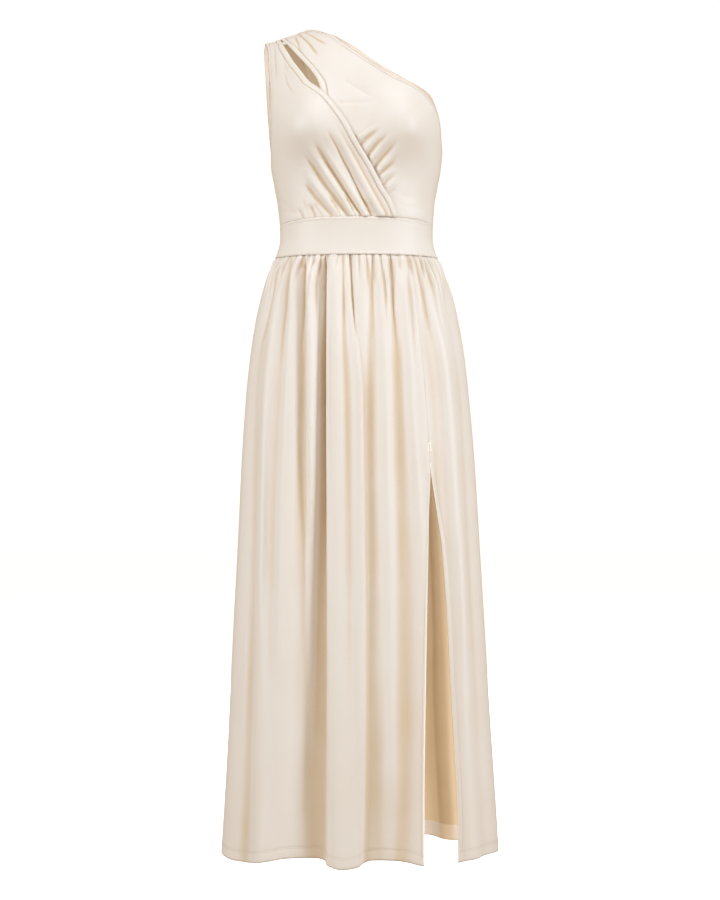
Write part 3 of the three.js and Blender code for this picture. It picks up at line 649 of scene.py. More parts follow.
def even(side, across, level, first, last, folds):
    """Spread the columns by the length of the folded cloth instead of by the angle."""
    if folds is None:
        return np.asarray(across)
    t = np.linspace(0, 1, 3000)[None, :]
    some = slice(None, None, max(1, len(level) // 16))
    points = surface(side, first[some] + (last - first)[some] * t, level[some] + 0 * t, folds)
    steps = np.linalg.norm(np.diff(points, axis=1), axis=-1)
    steps = np.r_[0, np.cumsum((steps / steps.sum(axis=1, keepdims=True)).max(axis=0))]
    return np.interp(across, steps / steps[-1], t[0])


def panel(side, levels, across, start=None, end=None, folds=None, lift=None, fine=None,
          edges=(), hemmed=False):
    """A grid of outer and inner points, with its distances to the edges and its edge strips."""
    level = np.repeat(np.asarray(levels, float)[:, None], len(across), axis=1)
    seam = seam_turn(side, level[:, :1])
    first = np.pi - seam
    if start is not None:
        first = np.minimum(first, angle_at(level[:, :1], start(level[:, :1])))
    last = seam
    if end is not None:
        last = np.maximum(last, angle_at(level[:, :1], end(level[:, :1])))
    across = even(side, across, level[:, :1], first, last, folds)
    phi = first + (last - first) * across[None, :]
    if hemmed:
        bottom, waving = levels[0], 150
        x = surface(side, phi[0], np.full(len(across), 12.0))[:, 0]
        down = np.clip((waving - level) / (waving - bottom), 0, 1)
        level = level + (hem[side](x)[None, :] - bottom) * down
    points = surface(side, phi, level, folds)
    out = normals(points, side)
    out[level > SHOULDER - 0.1, 1] = 0
    out[np.minimum(np.abs(level - BAND_FOOT), np.abs(level - WAIST_SEAM)) < 1, 2] = 0
    out = unit(out)
    away = from_edges(points)
    height = np.zeros_like(level)
    if lift is not None:
        height += lift(points[..., 0], level)
    if fine is not None:
        height += fine(points[..., 0], points[..., 2], phi, level)
    for name, kind, size in edges:
        d = away[name]
        if hemmed and kind == "turned" and name != "low":
            closed = ease(SLIT_TOP + 24, SLIT_TOP + 38, level)
            d = d + 60 * closed
        if kind == "roll":
            height -= size * bell(d, 1.6)
        elif kind == "piped":
            height += 0.7 * bell(d - 2.6, 1.4) - size * bell(d, 1.2)
        elif kind == "round":
            height -= size * (1 - ease(0, 4, d)) ** 1.5
        elif kind == "turned":
            deep = 0.7 if name == "low" else 0.25
            height += 0.4 * ease(size + 1.5, size - 0.5, d) - deep * bell(d - size, 1.1)
            height -= 0.5 * bell(d, 0.8)
    turned, line = np.zeros((2, *level.shape), bool)
    for name, kind, size in edges:
        if kind != "turned":
            continue
        turned |= away[name] < size + 7
        # On the fronts, a line along each turned edge is painted: a dark shadow on the bodice and
        # a highlight on the slit.
        if side == "front":
            wide = SLIT_LINES.get(name, 0) if hemmed else NECK_SHADOW
            line |= (away[name] < wide) & ((level < SLIT_TOP) | (not hemmed))
    return dict(side=side, outer=points + out * height[..., None], out=out, away=away,
                inner=points + out * (height[..., None] - CLOTH), turned=turned, line=line)


# %% [markdown]
# Cloth has two sides and a thin edge. A Solidify modifier could thicken a panel, but a shell
# that is closed here can give each face its own material: the inside, painted darker as shade;
# the turned allowance of the bodice, which glows a little as painted light; and a thin line along
# the edge, a painted shadow on the bodice fronts and a painted highlight on the slit. It carries
# a map of the cloth in real metres, so that the knit has its true scale, and each point stores
# how deep it lies in a fold, which paints shade into the colour of the cloth there.

# %% Shells
# Material slots: outside, the inside painted as shade, the glowing facing as painted light, and
# the edge line as a painted shadow.
OUTSIDE, SHADED_INSIDE, GLOWING_FACING, EDGE_SHADOW = range(4)  # material slots
FOLD_SHADE_REACHES = {
    # distances aside and the depths there that make a full fold, and how strongly they count, for
    # the painted shade in folds
    "bodice": (((4, 0.9), (9, 3.2)), 1.5),
    "skirt": (((3.5, 2.2), (8, 4), (20, 14), (42, 17)), 1.3),
}


def placed(points):
    """From mm on the form to m in the frame, whose origin is where the strap rests."""
    moved = np.asarray(points, float).reshape(-1, 3) + (-REST_X, 0, -rest_z)
    return moved / 1000


def hollow(part, reaches):
    """How deep each point lies below the cloth beside it, 0 on a ridge and 1 in a fold, for
    painted shade.
    """
    points, out, along = part["outer"], part["out"], part["away"]["left"]
    total = np.zeros(along.shape)
    for reach, deep in reaches:
        for i, (s, row) in enumerate(zip(along, points)):
            beside = sum(np.stack([np.interp(s + d, s, row[:, k]) for k in range(3)], axis=-1)
                         for d in (-reach, reach)) / 2
            total[i] += np.maximum(0, ((beside - row) * out[i]).sum(axis=-1)) / deep
    return np.clip(total, 0, 1)


def make_object(name, points, faces, materials, slots=None, uv=None):
    """A smooth mesh object with its material slots and cloth map."""
    mesh = bpy.data.meshes.new(name)
    mesh.from_pydata(points, [], faces)
    for material in materials:
        mesh.materials.append(material)
    if slots is not None:
        mesh.polygons.foreach_set("material_index", np.asarray(slots, np.int32))
    mesh.polygons.foreach_set("use_smooth", np.full(len(faces), True))
    if uv is not None:
        layer = mesh.uv_layers.new(name="cloth")
        corner = np.zeros(len(mesh.loops), np.int32)
        mesh.loops.foreach_get("vertex_index", corner)
        layer.data.foreach_set("uv", np.asarray(uv, np.float32)[corner].ravel())
    mesh.validate()
    mesh.update()
    obj = bpy.data.objects.new(name, mesh)
    bpy.context.collection.objects.link(obj)
    return obj


def grid_faces(rows, columns, flip, offset=0):
    """The quads of a grid, turned over for a side that faces the other way."""
    a = np.arange(rows * columns).reshape(rows, columns) + offset
    quads = np.stack([a[:-1, :-1], a[:-1, 1:], a[1:, 1:], a[1:, :-1]], axis=-1).reshape(-1, 4)
    return quads[:, ::-1] if flip else quads


def shell(name, part, materials, kind):
    """The closed shell of a panel, with its materials, its cloth map and its folds' depth for
    painted shade.
    """
    reaches, strength = FOLD_SHADE_REACHES[kind]
    bodice = kind == "bodice"
    rows, columns, _ = part["outer"].shape
    count = rows * columns
    flip = part["side"] == "back"
    outer = grid_faces(rows, columns, flip)
    inner = grid_faces(rows, columns, not flip, count)
    a = np.arange(count).reshape(rows, columns)
    ring = np.r_[a[0, :-1], a[:-1, -1], a[-1, :0:-1], a[:0:-1, 0]]
    after = np.roll(ring, -1)
    rim = np.stack([ring, ring + count, after + count, after], axis=-1)
    rim = rim[:, ::-1] if flip else rim
    points = placed(np.concatenate([part["outer"].reshape(-1, 3), part["inner"].reshape(-1, 3)]))
    away = part["away"]
    uv = np.stack([away["left"], away["low"]], axis=-1).reshape(-1, 2) / 1000
    allowance = (part["turned"][:-1, :-1] & part["turned"][:-1, 1:]).ravel()
    painted_edge_line = (part["line"][:-1, :-1] | part["line"][:-1, 1:]).ravel()
    # Faces on the painted line get the dark painted shadow on the bodice and the glowing painted
    # highlight on the skirt; the bodice's allowance glows as painted light, its inside is painted
    # shade, and a bodice rim with a painted line gets the painted shadow too.
    slots = np.r_[
        np.where(painted_edge_line, EDGE_SHADOW if bodice else GLOWING_FACING, OUTSIDE),
        np.where(allowance, GLOWING_FACING if bodice else OUTSIDE, SHADED_INSIDE),
        np.full(len(rim), EDGE_SHADOW if bodice and painted_edge_line.any() else OUTSIDE)]
    faces = np.concatenate([outer, inner, rim]).tolist()
    piece = make_object(name, points.tolist(), faces, materials, slots, uv=np.r_[uv, uv])
    # The fold depth paints shade into the base colour: darker and warmer deeper in a fold.
    folded = strength * hollow(part, reaches)
    # On the bodice, the inside is painted darker further from its edges: painted shade.
    painted_inside_shade = ease(8, 40, np.minimum(away["left"], away["right"])) * bodice
    both = np.concatenate([folded.ravel(), np.maximum(folded, painted_inside_shade).ravel()])
    values = piece.data.attributes.new("hollow", "FLOAT", "POINT")
    values.data.foreach_set("value", both.astype(np.float32))
    return piece


# %% [markdown]
# ## Materials
#
# Shader maths goes through one small class whose sockets add, subtract and multiply like
# numbers, so a tone is written as a sum. Every other node comes from one method, which takes
# its type, its settings and what its sockets get.

# %% Shader maths
class Value:
    """A shader socket that adds, subtracts and multiplies like a number, from either side."""

    def __init__(self, maker, socket):
        self.maker, self.socket = maker, socket

    def math(self, operation, first, second):
        return self.maker.node("ShaderNodeMath", {"operation": operation}, [first, second])

    def __add__(self, other):
        return self.math("ADD", self, other)

    def __radd__(self, other):
        return self.math("ADD", other, self)

    def __sub__(self, other):
        return self.math("SUBTRACT", self, other)

    def __rsub__(self, other):
        return self.math("SUBTRACT", other, self)

    def __mul__(self, other):
        return self.math("MULTIPLY", self, other)

    def __rmul__(self, other):
        return self.math("MULTIPLY", other, self)


def set_stops(elements, stops):
    """A colour ramp's stops, as positions and colours."""
    while len(elements) < len(stops):
        elements.new(0.5)
    for element, (position, colour) in zip(elements, stops):
        element.position, element.color = position, (*colour, 1)


class Maker:
    """Builds a material's nodes: one method takes type, settings and socket values."""

    def __init__(self, name):
        self.material = bpy.data.materials.new(name)
        self.material.use_nodes = True
        self.tree = self.material.node_tree
        self.shader = self.tree.nodes["Principled BSDF"]

    def node(self, kind, settings=None, inputs=(), output=0):
        made = self.tree.nodes.new(kind)
        for key, value in (settings or {}).items():
            if key == "stops":
                set_stops(made.color_ramp.elements, value)
            else:
                setattr(made, key, value)
        pairs = inputs.items() if isinstance(inputs, dict) else enumerate(inputs)
        for key, value in pairs:
            self.set(made.inputs[key], value)
        return Value(self, made.outputs[output])

    def set(self, socket, value):
        if isinstance(value, Value):
            self.tree.links.new(value.socket, socket)
        else:
            socket.default_value = value


# %% [markdown]
# The jersey is a knit whose loops are too small to see one by one. Two wave textures make its
# ribs and rows as a fine bump, and soft noise keeps the tone from being flat. In a fold, light
# goes back and forth between warm walls; the stored fold depth paints that into the colour as
# shade, a darker and warmer tone. Inside and outside are one jersey, and the inside is painted
# darker and warmer, as shade. The facing, a single layer inside neck and armhole, glows a
# little, a painted light for the light it lets through, and a dark tone paints the shadow along
# the edges of the bodice fronts.

# %% Jersey
def jersey(name, light, deep, fold, sheen):
    """Fine jersey: rows of small knit loops, a darker, warmer painted shade in its folds and a
    pale sheen.
    """
    m = Maker(name)
    folded = m.node("ShaderNodeAttribute", {"attribute_name": "hollow"}, output=2)
    cloth = m.node("ShaderNodeUVMap", {"uv_map": "cloth"})
    place = m.node("ShaderNodeTexCoord", output=3)
    ribs = m.node("ShaderNodeTexWave", {"wave_type": "BANDS", "bands_direction": "X"},
                  {"Vector": cloth, "Scale": 380.0, "Distortion": 0.6, "Detail": 1.0,
                   "Detail Scale": 1.5}, 1)
    rows = m.node("ShaderNodeTexWave", {"wave_type": "BANDS", "bands_direction": "Y"},
                  {"Vector": cloth, "Scale": 300.0, "Distortion": 0.8, "Detail": 1.0,
                   "Detail Scale": 1.5}, 1)
    cloudy = m.node("ShaderNodeTexNoise", None, {"Vector": place, "Scale": 9.0, "Detail": 3.0})
    mottle = m.node("ShaderNodeTexNoise", None, {"Vector": place, "Scale": 420.0, "Detail": 2.0})
    knit = ribs * 0.6 + rows * 0.4
    # Deeper in a fold the tone turns to the folded colour: painted shade.
    tone = cloudy * 0.28 + mottle * 0.12 - folded * 0.34 + 0.6
    colour = m.node("ShaderNodeValToRGB", {"stops": [(0.1, fold), (0.72, deep), (0.88, light)]},
                    [tone])
    m.set(m.shader.inputs["Base Color"], colour)
    m.set(m.shader.inputs["Roughness"], knit * 0.06 + cloudy * 0.08 + 0.32)
    height = knit * 0.00010 + mottle * 0.00016 + cloudy * 0.0012
    bump = m.node("ShaderNodeBump", None, {"Strength": 0.5, "Distance": 1.0, "Height": height})
    m.set(m.shader.inputs["Normal"], bump)
    m.shader.inputs["Sheen Weight"].default_value = sheen
    m.shader.inputs["Sheen Roughness"].default_value = 0.35
    m.shader.inputs["Sheen Tint"].default_value = (1.0, 0.97, 0.93, 1.0)
    m.shader.inputs["Specular IOR Level"].default_value = 0.45
    return m.material


TONES = {
    # light, deep and folded tone, sheen; the folded tone is painted shade
    "outside": ((0.865, 0.80, 0.725), (0.855, 0.77, 0.685), (0.68, 0.49, 0.27), 0.35),
    # The inside is the same jersey painted darker and warmer: painted shade.
    "inside": ((0.85, 0.70, 0.49), (0.83, 0.67, 0.45), (0.48, 0.33, 0.18), 0.12),
    # The facing's tone, which glows below: painted light.
    "facing": ((0.87, 0.80, 0.72), (0.86, 0.78, 0.69), (0.84, 0.72, 0.58), 0.35),
    # A dark tone for the painted shadow along the edges of the bodice fronts.
    "edge_line": ((0.56, 0.40, 0.24), (0.52, 0.36, 0.21), (0.4, 0.27, 0.15), 0.2),
}
cloth_materials = [jersey("jersey_" + name, *tones) for name, tones in TONES.items()]
facing = cloth_materials[GLOWING_FACING]
# The facing glows a little, though it is no lamp: painted light on the bodice's turned allowance,
# and a painted highlight on the slit edges and the bar tack.
glow_inputs = facing.node_tree.nodes["Principled BSDF"].inputs
glow_inputs["Emission Color"].default_value = (1, 0.92, 0.82, 1)
glow_inputs["Emission Strength"].default_value = 0.34

print("jersey:", ", ".join(material.name for material in cloth_materials))

# %% [markdown]
# The sewing thread is a little darker than the cloth, so that its rows can be seen, and mottled
# so that no two stitches are quite alike.

# %% Thread
thread = Maker("thread")
thread.shader.inputs["Roughness"].default_value = 0.45
twist = thread.node("ShaderNodeTexNoise", None, {
    "Vector": thread.node("ShaderNodeTexCoord", output=3), "Scale": 900.0})
thread.set(thread.shader.inputs["Base Color"], thread.node(
    "ShaderNodeValToRGB", {"stops": [(0.35, (0.60, 0.46, 0.32)), (0.65, (0.72, 0.58, 0.43))]},
    [twist]))
thread.shader.inputs["Sheen Weight"].default_value = 0.3
print("thread:", len(thread.tree.nodes), "nodes")

# %% [markdown]
# ## Bodice
#
# The two fronts cross below the bust, and their narrow bands leave a keyhole near the shoulder,
# which a small tab holds closed. It could be one mesh with painted seams, but panels of their
# own have real edges, and the keyhole is a real gap. Rows lie close together at the shoulder,
# where the cloth rolls over, and at the waist seam.

# %% Bodice panels
def levels_between(low, high, count, reach=0.03, extra=5):
    return low + (high - low) * crowded(count, reach, extra)


def bodice_levels(count):
    roll = SHOULDER - 26 * (1 - np.sin(np.linspace(0.12, 1, 26) * np.pi / 2))
    body = levels_between(WAIST_SEAM + SEAM_GAP / 2, roll[0], count)
    return np.r_[body[:-1], roll]


def armhole_or_side(side):
    return lambda level: np.where(level < 1171, shape["left"](level), armhole[side](level))


def neck_or_side(side):
    return lambda level: np.where(level < 1190, shape["right"](level), neck[side](level))


def band_span(width, level):
    slant = (wrap_edge(np.minimum(level + 6, SHOULDER)) - wrap_edge(level - 6)) / 12
    return width * np.where(level > 1370, 0.85, np.minimum(1.5, np.hypot(1, slant)))


def fine_creases(name, free):
    rows = FINE[name]

    def height(x, z, phi, level):
        stretch = 0.25 * np.sin(x / 7 + z / 31) * np.sin(z / 17 - x / 43)
        return (drawn(rows, x, z) + stretch) * free(x, level)

    return height


wrap_free = lambda x, level: ease(-2, 10, under_edge(level) - x)
under_free = lambda x, level: ease(-6, 8, x - wrap_edge(level))
rows_up = bodice_levels(130)

front_wrap = panel(
    "front", rows_up, crowded(120), armhole_or_side("front"),
    lambda level: wrap_edge(level) - band_span(WRAP_BAND, level) - SLANT_GAP,
    wrap_folds, wrap_lift, fine_creases("wrap", wrap_free),
    edges=[("left", "turned", 7), ("right", "roll", 0.9), ("low", "roll", 0.9)])
wrap_band = panel(
    "front", rows_up, np.linspace(0, 1, 15),
    lambda level: wrap_edge(level) - band_span(WRAP_BAND, level), wrap_edge,
    wrap_folds, wrap_lift,
    edges=[("left", "round", 1.3), ("right", "round", 1.1), ("low", "roll", 0.9)])
under_band = panel(
    "front", rows_up, np.linspace(0, 1, 13), under_edge,
    lambda level: under_edge(level) + band_span(UNDER_BAND, level), under_folds,
    edges=[("left", "round", 1.1), ("right", "round", 1.2), ("low", "roll", 0.9)])
front_under = panel(
    "front", rows_up, crowded(110),
    lambda level: under_edge(level) + band_span(UNDER_BAND, level) + SLANT_GAP,
    neck_or_side("front"), under_folds, None, fine_creases("under", under_free),
    edges=[("left", "roll", 0.7), ("right", "turned", 7), ("low", "roll", 0.9)])
bodice_back = panel(
    "back", bodice_levels(110), crowded(130), armhole_or_side("back"), neck_or_side("back"),
    back_folds, None, fine_creases("back", lambda x, level: 1),
    edges=[("left", "turned", 7), ("right", "turned", 7), ("low", "roll", 0.9)])
keyhole_tab = panel(
    "front", np.linspace(1372, 1378.5, 9), np.linspace(0, 1, 13),
    lambda level: wrap_edge(level) - 4, lambda level: under_edge(level) + 4,
    None, lambda x, level: 0 * x - WALL - 0.4,
    edges=[("low", "roll", 0.3), ("high", "roll", 0.3)])

# %% [markdown]
# ## Waistband
#
# The waistband is smooth between its two seams, stands up a little along them, where layers of
# cloth lie inside, and is slightly puckered by the gathers below. It is cut as a front and a
# back, so it is two panels here.

# %% Waistband panels
def band_pucker(side):
    def height(x, z, phi, level):
        place = phi / np.pi * GATHERS + (0 if side == "front" else BACK_SHIFT)
        index = np.floor(place)
        within = np.sin(np.pi * (place - index)) ** 2
        size = 0.45 + 0.3 * np.sin(index * 2.9 + 0.4)
        low = size * within * bell(level - BAND_FOOT, 7)
        high = 0.35 * np.sin(x / 3.1 + np.sin(x / 9)) * bell(level - WAIST_SEAM, 5)
        soft = 0.5 * np.sin(x / 37 + 1) * np.sin((level - BAND_FOOT) / 20)
        return low + high + soft

    return height


def waistband(side):
    levels = levels_between(BAND_FOOT + SEAM_GAP / 2, WAIST_SEAM - SEAM_GAP / 2, 34, 0.09, 6)
    return panel(side, levels, crowded(190, 0.02), None, None, None, None, band_pucker(side),
                 edges=[("low", "piped", 1.0), ("high", "piped", 1.0)])


# %% [markdown]
# ## Skirt
#
# The skirt is cut as a wide front, a narrow front beyond the slit, and a back. All of them use
# the same functions for their folds, so the two fronts meet above the slit without a step.
# Rows are close together in the gathers and at the hem and wider apart between them, which
# keeps the number of faces down where the cloth hangs straight.

# %% Skirt panels
def skirt_levels(top_rows, long_rows, hem_rows):
    top = BAND_FOOT - SEAM_GAP / 2 - 130 * np.linspace(0, 1, top_rows) ** 1.25
    middle = np.linspace(top[-1], 60, long_rows)
    low = 12 + 48 * np.linspace(1, 0, hem_rows)
    return np.r_[top, middle[1:], low[1:]][::-1]


def skirt_fine(side):
    def height(x, z, phi, level):
        shift = 0 if side == "front" else BACK_SHIFT
        place = phi / np.pi * 2 * GATHERS + 0.8 * np.sin(phi * 23) + shift
        seam = bell(BAND_FOOT - level, 16)
        small = 0.7 * np.sin(2 * np.pi * place) * seam
        drift = 0.5 * np.sin(x / 11 + np.sin(level / 90)) * np.sin(level / 160 + x / 60)
        lines = drawn(FINE["skirt"], x if side == "front" else -x, z, 0.35)
        return small + lines + drift * ease(980, 850, level)

    return height


def past_slit(level):
    return slit_right(level) + SEAM_GAP * ease(SLIT_TOP + 4, SLIT_TOP - 20, level)


SKIRT = {
    # side, rows (in the gathers, below, at the hem), columns and their crowding, start, end, edges
    "skirt_front": ("front", (58, 62, 16), (340, 0.03), None, slit_left, [("right", "turned", 6)]),
    "skirt_front_side": (
        "front", (58, 62, 16), (110, 0.06), past_slit, None, [("left", "turned", 9)]),
    "skirt_back": ("back", (52, 58, 14), (360, 0.02), None, None, []),
}
skirt_parts = {
    name: panel(side, skirt_levels(*rows), crowded(*columns, 6), start, end, skirt_folds(side),
                None, skirt_fine(side), hemmed=True,
                edges=[("high", "roll", 1.2), *beside, ("low", "turned", HEM_TURN)])
    for name, (side, rows, columns, start, end, beside) in SKIRT.items()}

# %% [markdown]
# ## Pieces in the scene
#
# Nothing on the dress turns or slides, and it stands filled and still, so it is one body and
# nothing is rigged. Each shell stands for the solid of the same name and rides on that body.

# %% Make the shells and attach them to the body
parts = {
    "front_wrap": front_wrap, "wrap_band": wrap_band, "front_under": front_under,
    "under_band": under_band, "keyhole_tab": keyhole_tab, "bodice_back": bodice_back,
    "waistband_front": waistband("front"), "waistband_back": waistband("back"), **skirt_parts,
}
for name, part in parts.items():
    kind = "skirt" if "skirt" in name else "bodice"
    piece = shell("cloth_" + name, part, cloth_materials, kind)
    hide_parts(name)
    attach(piece, "root")
    outer = part["outer"] / 1000
    area = np.linalg.norm(np.cross(outer[1:, :-1] - outer[:-1, :-1],
                                   outer[:-1, 1:] - outer[:-1, :-1]), axis=-1).sum()
    print(name, "faces", len(piece.data.polygons), "area m2", round(float(area), 4))

# %% [markdown]
# ## Stitches
#
# Hem, slit, neck and armhole are turned and sewn with one row of small stitches, the hem with
# two. A bump could show them from far away, but from near they need to stand on the cloth. So a
# row is a mesh of small spindles that follows a line at a fixed distance from the edge.

# %% Rows of stitches
def line_at(part, edge_name, distance, within=None):
    """Points and normals at one distance from an edge, where within allows them."""
    along_rows = edge_name in ("left", "right")
    away = part["away"][edge_name]
    points, out = part["outer"], part["out"]
    if not along_rows:
        away, points, out = away.T, points.transpose(1, 0, 2), out.transpose(1, 0, 2)
    found_points, found_out = [], []
    for d, p, o in zip(away, points, out):
        if d.max() < distance:
            continue
        order = np.argsort(d)
        mix = [np.interp(distance, d[order], q[order, i]) for q in (p, o) for i in range(3)]
        if within is None or within(mix[2]):
            found_points.append(mix[:3])
            found_out.append(mix[3:])
    return np.array(found_points), unit(np.array(found_out))


def stitch_row(points, out, pitch=3.0, long=2.2, half=0.36):
    """Small spindles along a line: pitch, length and half thickness in mm."""
    step = np.r_[0, np.cumsum(np.linalg.norm(np.diff(points, axis=0), axis=-1))]
    middles = np.arange(pitch / 2, step[-1], pitch)
    rings = []
    for shift, size in ((-0.5, 0.35), (-0.3, 1.0), (0.3, 1.0), (0.5, 0.35)):
        at = middles + shift * long
        centre = np.stack([np.interp(at, step, points[:, i]) for i in range(3)], axis=-1)
        up = unit(np.stack([np.interp(at, step, out[:, i]) for i in range(3)], axis=-1))
        ahead = np.stack([np.interp(at + 0.4, step, points[:, i]) for i in range(3)], axis=-1)
        side = unit(np.cross(ahead - centre + 1e-9, up))
        lift = 0.12 if size > 0.9 else -0.12
        middle = centre + up * lift
        rings.append(np.stack([middle + side * half * size, middle + up * half * size,
                               middle - side * half * size, middle - up * half * size], axis=1))
    vertices = np.stack(rings, axis=1).reshape(-1, 3)
    faces = []
    for k in range(len(middles)):
        o = 16 * k
        faces.append([o + 3, o + 2, o + 1, o])
        faces.append([o + 12, o + 13, o + 14, o + 15])
        for r in range(3):
            for c in range(4):
                a, b = o + 4 * r + c, o + 4 * r + (c + 1) % 4
                faces.append([a, b, b + 4, a + 4])
    return vertices, faces


def stitches(name, rows, material=thread.material, **sizes):
    """Several rows as one piece that rides on the dress."""
    vertices, faces = [], []
    for points, out in rows:
        more, more_faces = stitch_row(points, out, **sizes)
        base = sum(len(v) for v in vertices)
        vertices.append(more)
        faces += [[i + base for i in face] for face in more_faces]
    piece = make_object(name, placed(np.concatenate(vertices)).tolist(), faces, [material])
    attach(piece, "root")
    return piece


# %% [markdown]
# The end of the seam above the slit is the most strained place of the skirt. A maker holds it
# with a bar tack, here two short legs and a bar across them, of dense stitches in the facing
# jersey, whose glow is a painted highlight.

# %% Bar tack
TACK_HALF = 2.8  # from the seam to each leg
TACK_HEIGHTS = np.linspace(SLIT_TOP + 26, SLIT_TOP + 39, 8)


def tack_leg(name, edge_name):
    """A short upright row of stitches beside the seam, above the slit."""
    points, out = line_at(skirt_parts[name], edge_name, TACK_HALF)
    order = np.argsort(points[:, 2])
    z = points[order, 2]
    return [np.stack([np.interp(TACK_HEIGHTS, z, q[order, i]) for i in range(3)], axis=-1)
            for q in (points, out)]


tack_legs = [tack_leg("skirt_front", "right"), tack_leg("skirt_front_side", "left")]
tack_top = [np.linspace(tack_legs[0][i][-1], tack_legs[1][i][-1], 6) for i in (0, 1)]
print("bar tack, mm high:", TACK_HEIGHTS[-1] - TACK_HEIGHTS[0])

# %% Sew the edges
slit_open = lambda z: 24 < z < SLIT_TOP - 4
underarm = lambda z: z > 1176
neck_open = lambda z: z > 1196
HEM_ROWS = [("low", HEM_TURN - 1.5), ("low", HEM_TURN + 1.5)]
SEWING = {
    # piece: each row's edge, its distance from that edge, and where it is sewn
    "skirt_front": [*HEM_ROWS, ("right", 5, slit_open)],
    "skirt_front_side": [*HEM_ROWS, ("left", 8, slit_open)],
    "skirt_back": HEM_ROWS,
    "front_wrap": [("left", 6, underarm)],
    "front_under": [("right", 6, neck_open)],
    "bodice_back": [("left", 6, underarm), ("right", 6, neck_open)],
}
sewn = {name: stitches("stitches_" + name, [line_at(parts[name], *row) for row in rows])
        for name, rows in SEWING.items()}
# The bar tack is the glowing facing jersey: a painted highlight.
sewn["skirt_front tack"] = stitches("stitches_bar_tack", [*tack_legs, tack_top], facing,
                                    pitch=1.1, long=1.9, half=0.8)
print("rows of stitches on:", ", ".join(sewn))

# %% [markdown]
# ## Sheets
#
# A library of parts is used by people who may want to cut or simulate the cloth, so a table
# lists each piece's flat size before it was gathered or draped, how it is held, and what it
# hangs from; nothing here attaches it to the pieces.
# The sizes were measured along the cloth on the form, with the folds counted.

CUTS = {
    # piece: width, length, area in m and m2, how it is held, what it hangs from
    "front_wrap": (0.26, 0.34, 0.052, "draped", "bodice_back"),
    "wrap_band": (0.030, 0.40, 0.0056, "draped", "front_wrap"),
    "front_under": (0.28, 0.34, 0.056, "draped", "bodice_back"),
    "under_band": (0.024, 0.40, 0.0047, "draped", "front_under"),
    "keyhole_tab": (0.017, 0.0105, 0.00013, "stretched", "wrap_band"),
    "bodice_back": (0.40, 0.34, 0.105, "draped", "front_wrap"),
    "waistband_front": (0.33, 0.064, None, "stretched", "front_wrap"),
    "waistband_back": (0.32, 0.064, None, "stretched", "bodice_back"),
    "skirt_front": (0.54, 1.02, 0.50, "gathered", "waistband_front"),
    "skirt_front_side": (0.18, 1.02, 0.155, "gathered", "waistband_front"),
    "skirt_back": (0.76, 1.02, 0.72, "gathered", "waistband_back"),
}
for name, (width, length, area, held, carrier) in CUTS.items():
    [sewn[key] for key in (name, name + " tack") if key in sewn]
print("sheets:", len(CUTS))

# %% [markdown]
# ## Stage, light and camera
#
# A shop photograph is taken on a plain white ground with wide soft lights. A flat backdrop would
# hide the dress from behind, so the sweep is a round floor that curves up into a wall, far away.
# It glows white in the picture but neither shades nor lights the dress. Sizes are in metres here.

# %% Stage
STAGE_BEND = 0.8  # radius between floor and wall
STAGE_DROP = 0.09  # floor below the hem
STAGE_REACH = 12.0  # from the middle to the wall


def sweep(name, floor, reach, top, turns=96):
    """A round floor that curves up into a wall, white from every side."""
    curve_part = [(reach - STAGE_BEND * (1 - np.sin(a)), floor + STAGE_BEND * (1 - np.cos(a)))
                  for a in np.linspace(0, np.pi / 2, 24)]
    profile = [*curve_part, (reach, top)]
    around = np.linspace(0, 2 * np.pi, turns, endpoint=False)
    points = [(r * np.cos(a), r * np.sin(a), z) for r, z in profile for a in around]
    a = np.arange(len(points)).reshape(-1, turns)
    b = np.roll(a, -1, axis=1)
    faces = np.stack([a[:-1], b[:-1], b[1:], a[1:]], axis=-1).reshape(-1, 4)[:, ::-1].tolist()
    faces.append(list(range(turns)))
    m = Maker("stage_white")
    m.shader.inputs["Base Color"].default_value = (0.92, 0.92, 0.92, 1)
    m.shader.inputs["Roughness"].default_value = 0.9
    m.shader.inputs["Emission Color"].default_value = (1, 1, 1, 1)
    m.shader.inputs["Emission Strength"].default_value = 0.75
    stage = make_object(name, points, faces, [m.material])
    stage.visible_diffuse = stage.visible_glossy = stage.visible_shadow = False
    return stage


hem_z = -rest_z / 1000
sweep("stage_sweep", hem_z - STAGE_DROP, STAGE_REACH, hem_z + STAGE_REACH)
print("floor at z =", round(hem_z - STAGE_DROP, 3), "m")

# %% [markdown]
# Cool lamps stand at both sides, above the front and behind, and the surroundings are warm, so
# the shaded folds turn warmer, on top of the warm shade painted into their colour. A dim lamp
# inside the skirt shows the far side of the cloth at the slit, where the real cloth lets light
# through.

# %% Lights
COOL = (0.72, 0.845, 1.0)
CENTRE = (0.128, 0.0, -0.70)
LIGHTS = [
    # name, place, aim, width and height, watts
    ("side_right", (2.9, -1.8, 0.0), CENTRE, (0.9, 2.4), 74),
    ("side_left", (-2.6, -1.8, -0.1), CENTRE, (0.9, 2.4), 62),
    ("front_top", (0.3, -1.6, 2.3), (0.128, 0.0, -0.3), (1.8, 1.0), 34),
    ("back", (0.128, 3.4, 0.0), CENTRE, (1.0, 2.4), 84),
]
GLOW_X = 0.262  # inside the slit
glow_z = hem_z + 0.27


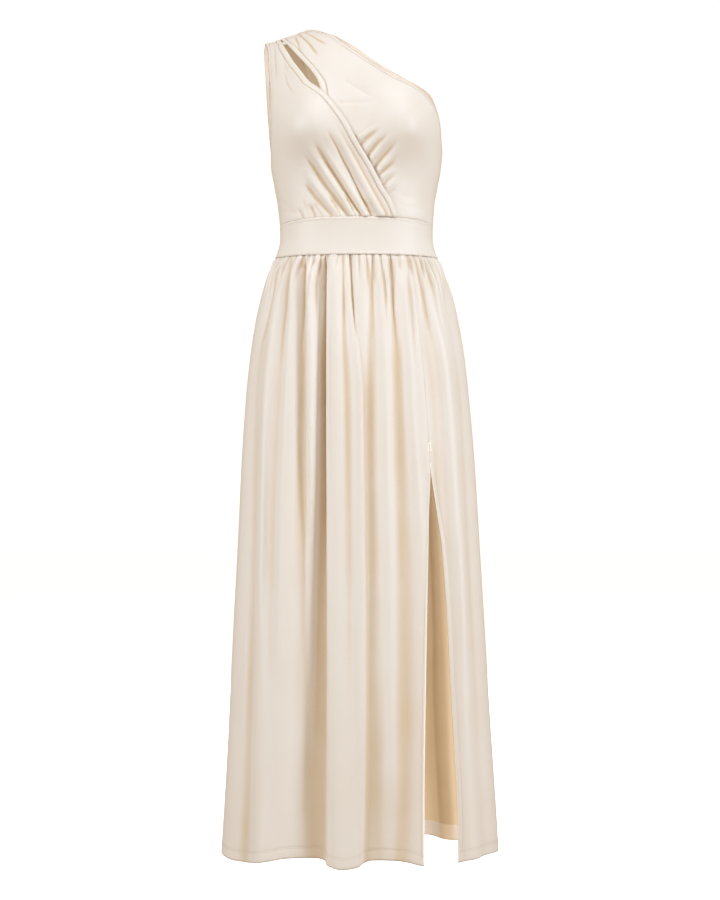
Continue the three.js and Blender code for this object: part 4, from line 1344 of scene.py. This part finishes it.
def soft_light(name, place, aim, size, power, colour=(1, 1, 1), spread=np.pi):
    """A rectangular lamp that points at a place."""
    data = bpy.data.lights.new(name, "AREA")
    data.shape, data.size, data.size_y = "RECTANGLE", size[0], size[1]
    data.energy, data.color = power, colour
    data.spread = spread
    light = bpy.data.objects.new(name, data)
    light.location = place
    direction = np.array(aim) - np.array(place)
    flat = float(np.hypot(direction[0], direction[1]))
    light.rotation_euler = (float(np.arctan2(flat, -direction[2])), 0.0,
                            float(np.arctan2(-direction[0], direction[1])))
    bpy.context.collection.objects.link(light)
    return light


lights = {name: soft_light(name, *row, COOL) for name, *row in LIGHTS}
lights["inside"] = soft_light("inside_glow", (GLOW_X, -0.03, glow_z), (GLOW_X, 0.2, glow_z),
                              (0.1, 0.9), 0.31, spread=2.0)
lights["back"].visible_camera = lights["inside"].visible_camera = False

world = bpy.data.worlds.new("studio")
world.use_nodes = True
world.node_tree.nodes["Background"].inputs["Color"].default_value = (1.0, 0.79, 0.53, 1)
world.node_tree.nodes["Background"].inputs["Strength"].default_value = 0.46
bpy.context.scene.world = world
print("lamps:", ", ".join(lights))

# %% [markdown]
# The photograph looks straight at the dress from a level camera. The camera stands 3.5 m away
# with a long lens, so that the near folds aren't made larger than the far ones.

# %% Camera
CAMERA_DISTANCE = 3.5
VIEW_HEIGHT = 1.53  # m that the picture shows at the dress
CAMERA_X = 3.4  # mm
CAMERA_Z = 690  # mm above the hem
camera_data = bpy.data.cameras.new("camera")
camera_data.sensor_fit, camera_data.sensor_height = "VERTICAL", 36
camera_data.lens = 36 * CAMERA_DISTANCE / VIEW_HEIGHT
camera = bpy.data.objects.new("camera", camera_data)
camera.location = placed([(CAMERA_X, -1000 * CAMERA_DISTANCE, CAMERA_Z)])[0].tolist()
camera.rotation_euler = (np.pi / 2, 0, 0)
bpy.context.collection.objects.link(camera)
bpy.context.scene.camera = camera
bpy.context.scene.view_settings.view_transform = "Standard"
bpy.context.scene.view_settings.look = "None"
print("lens, mm:", round(camera_data.lens, 1))
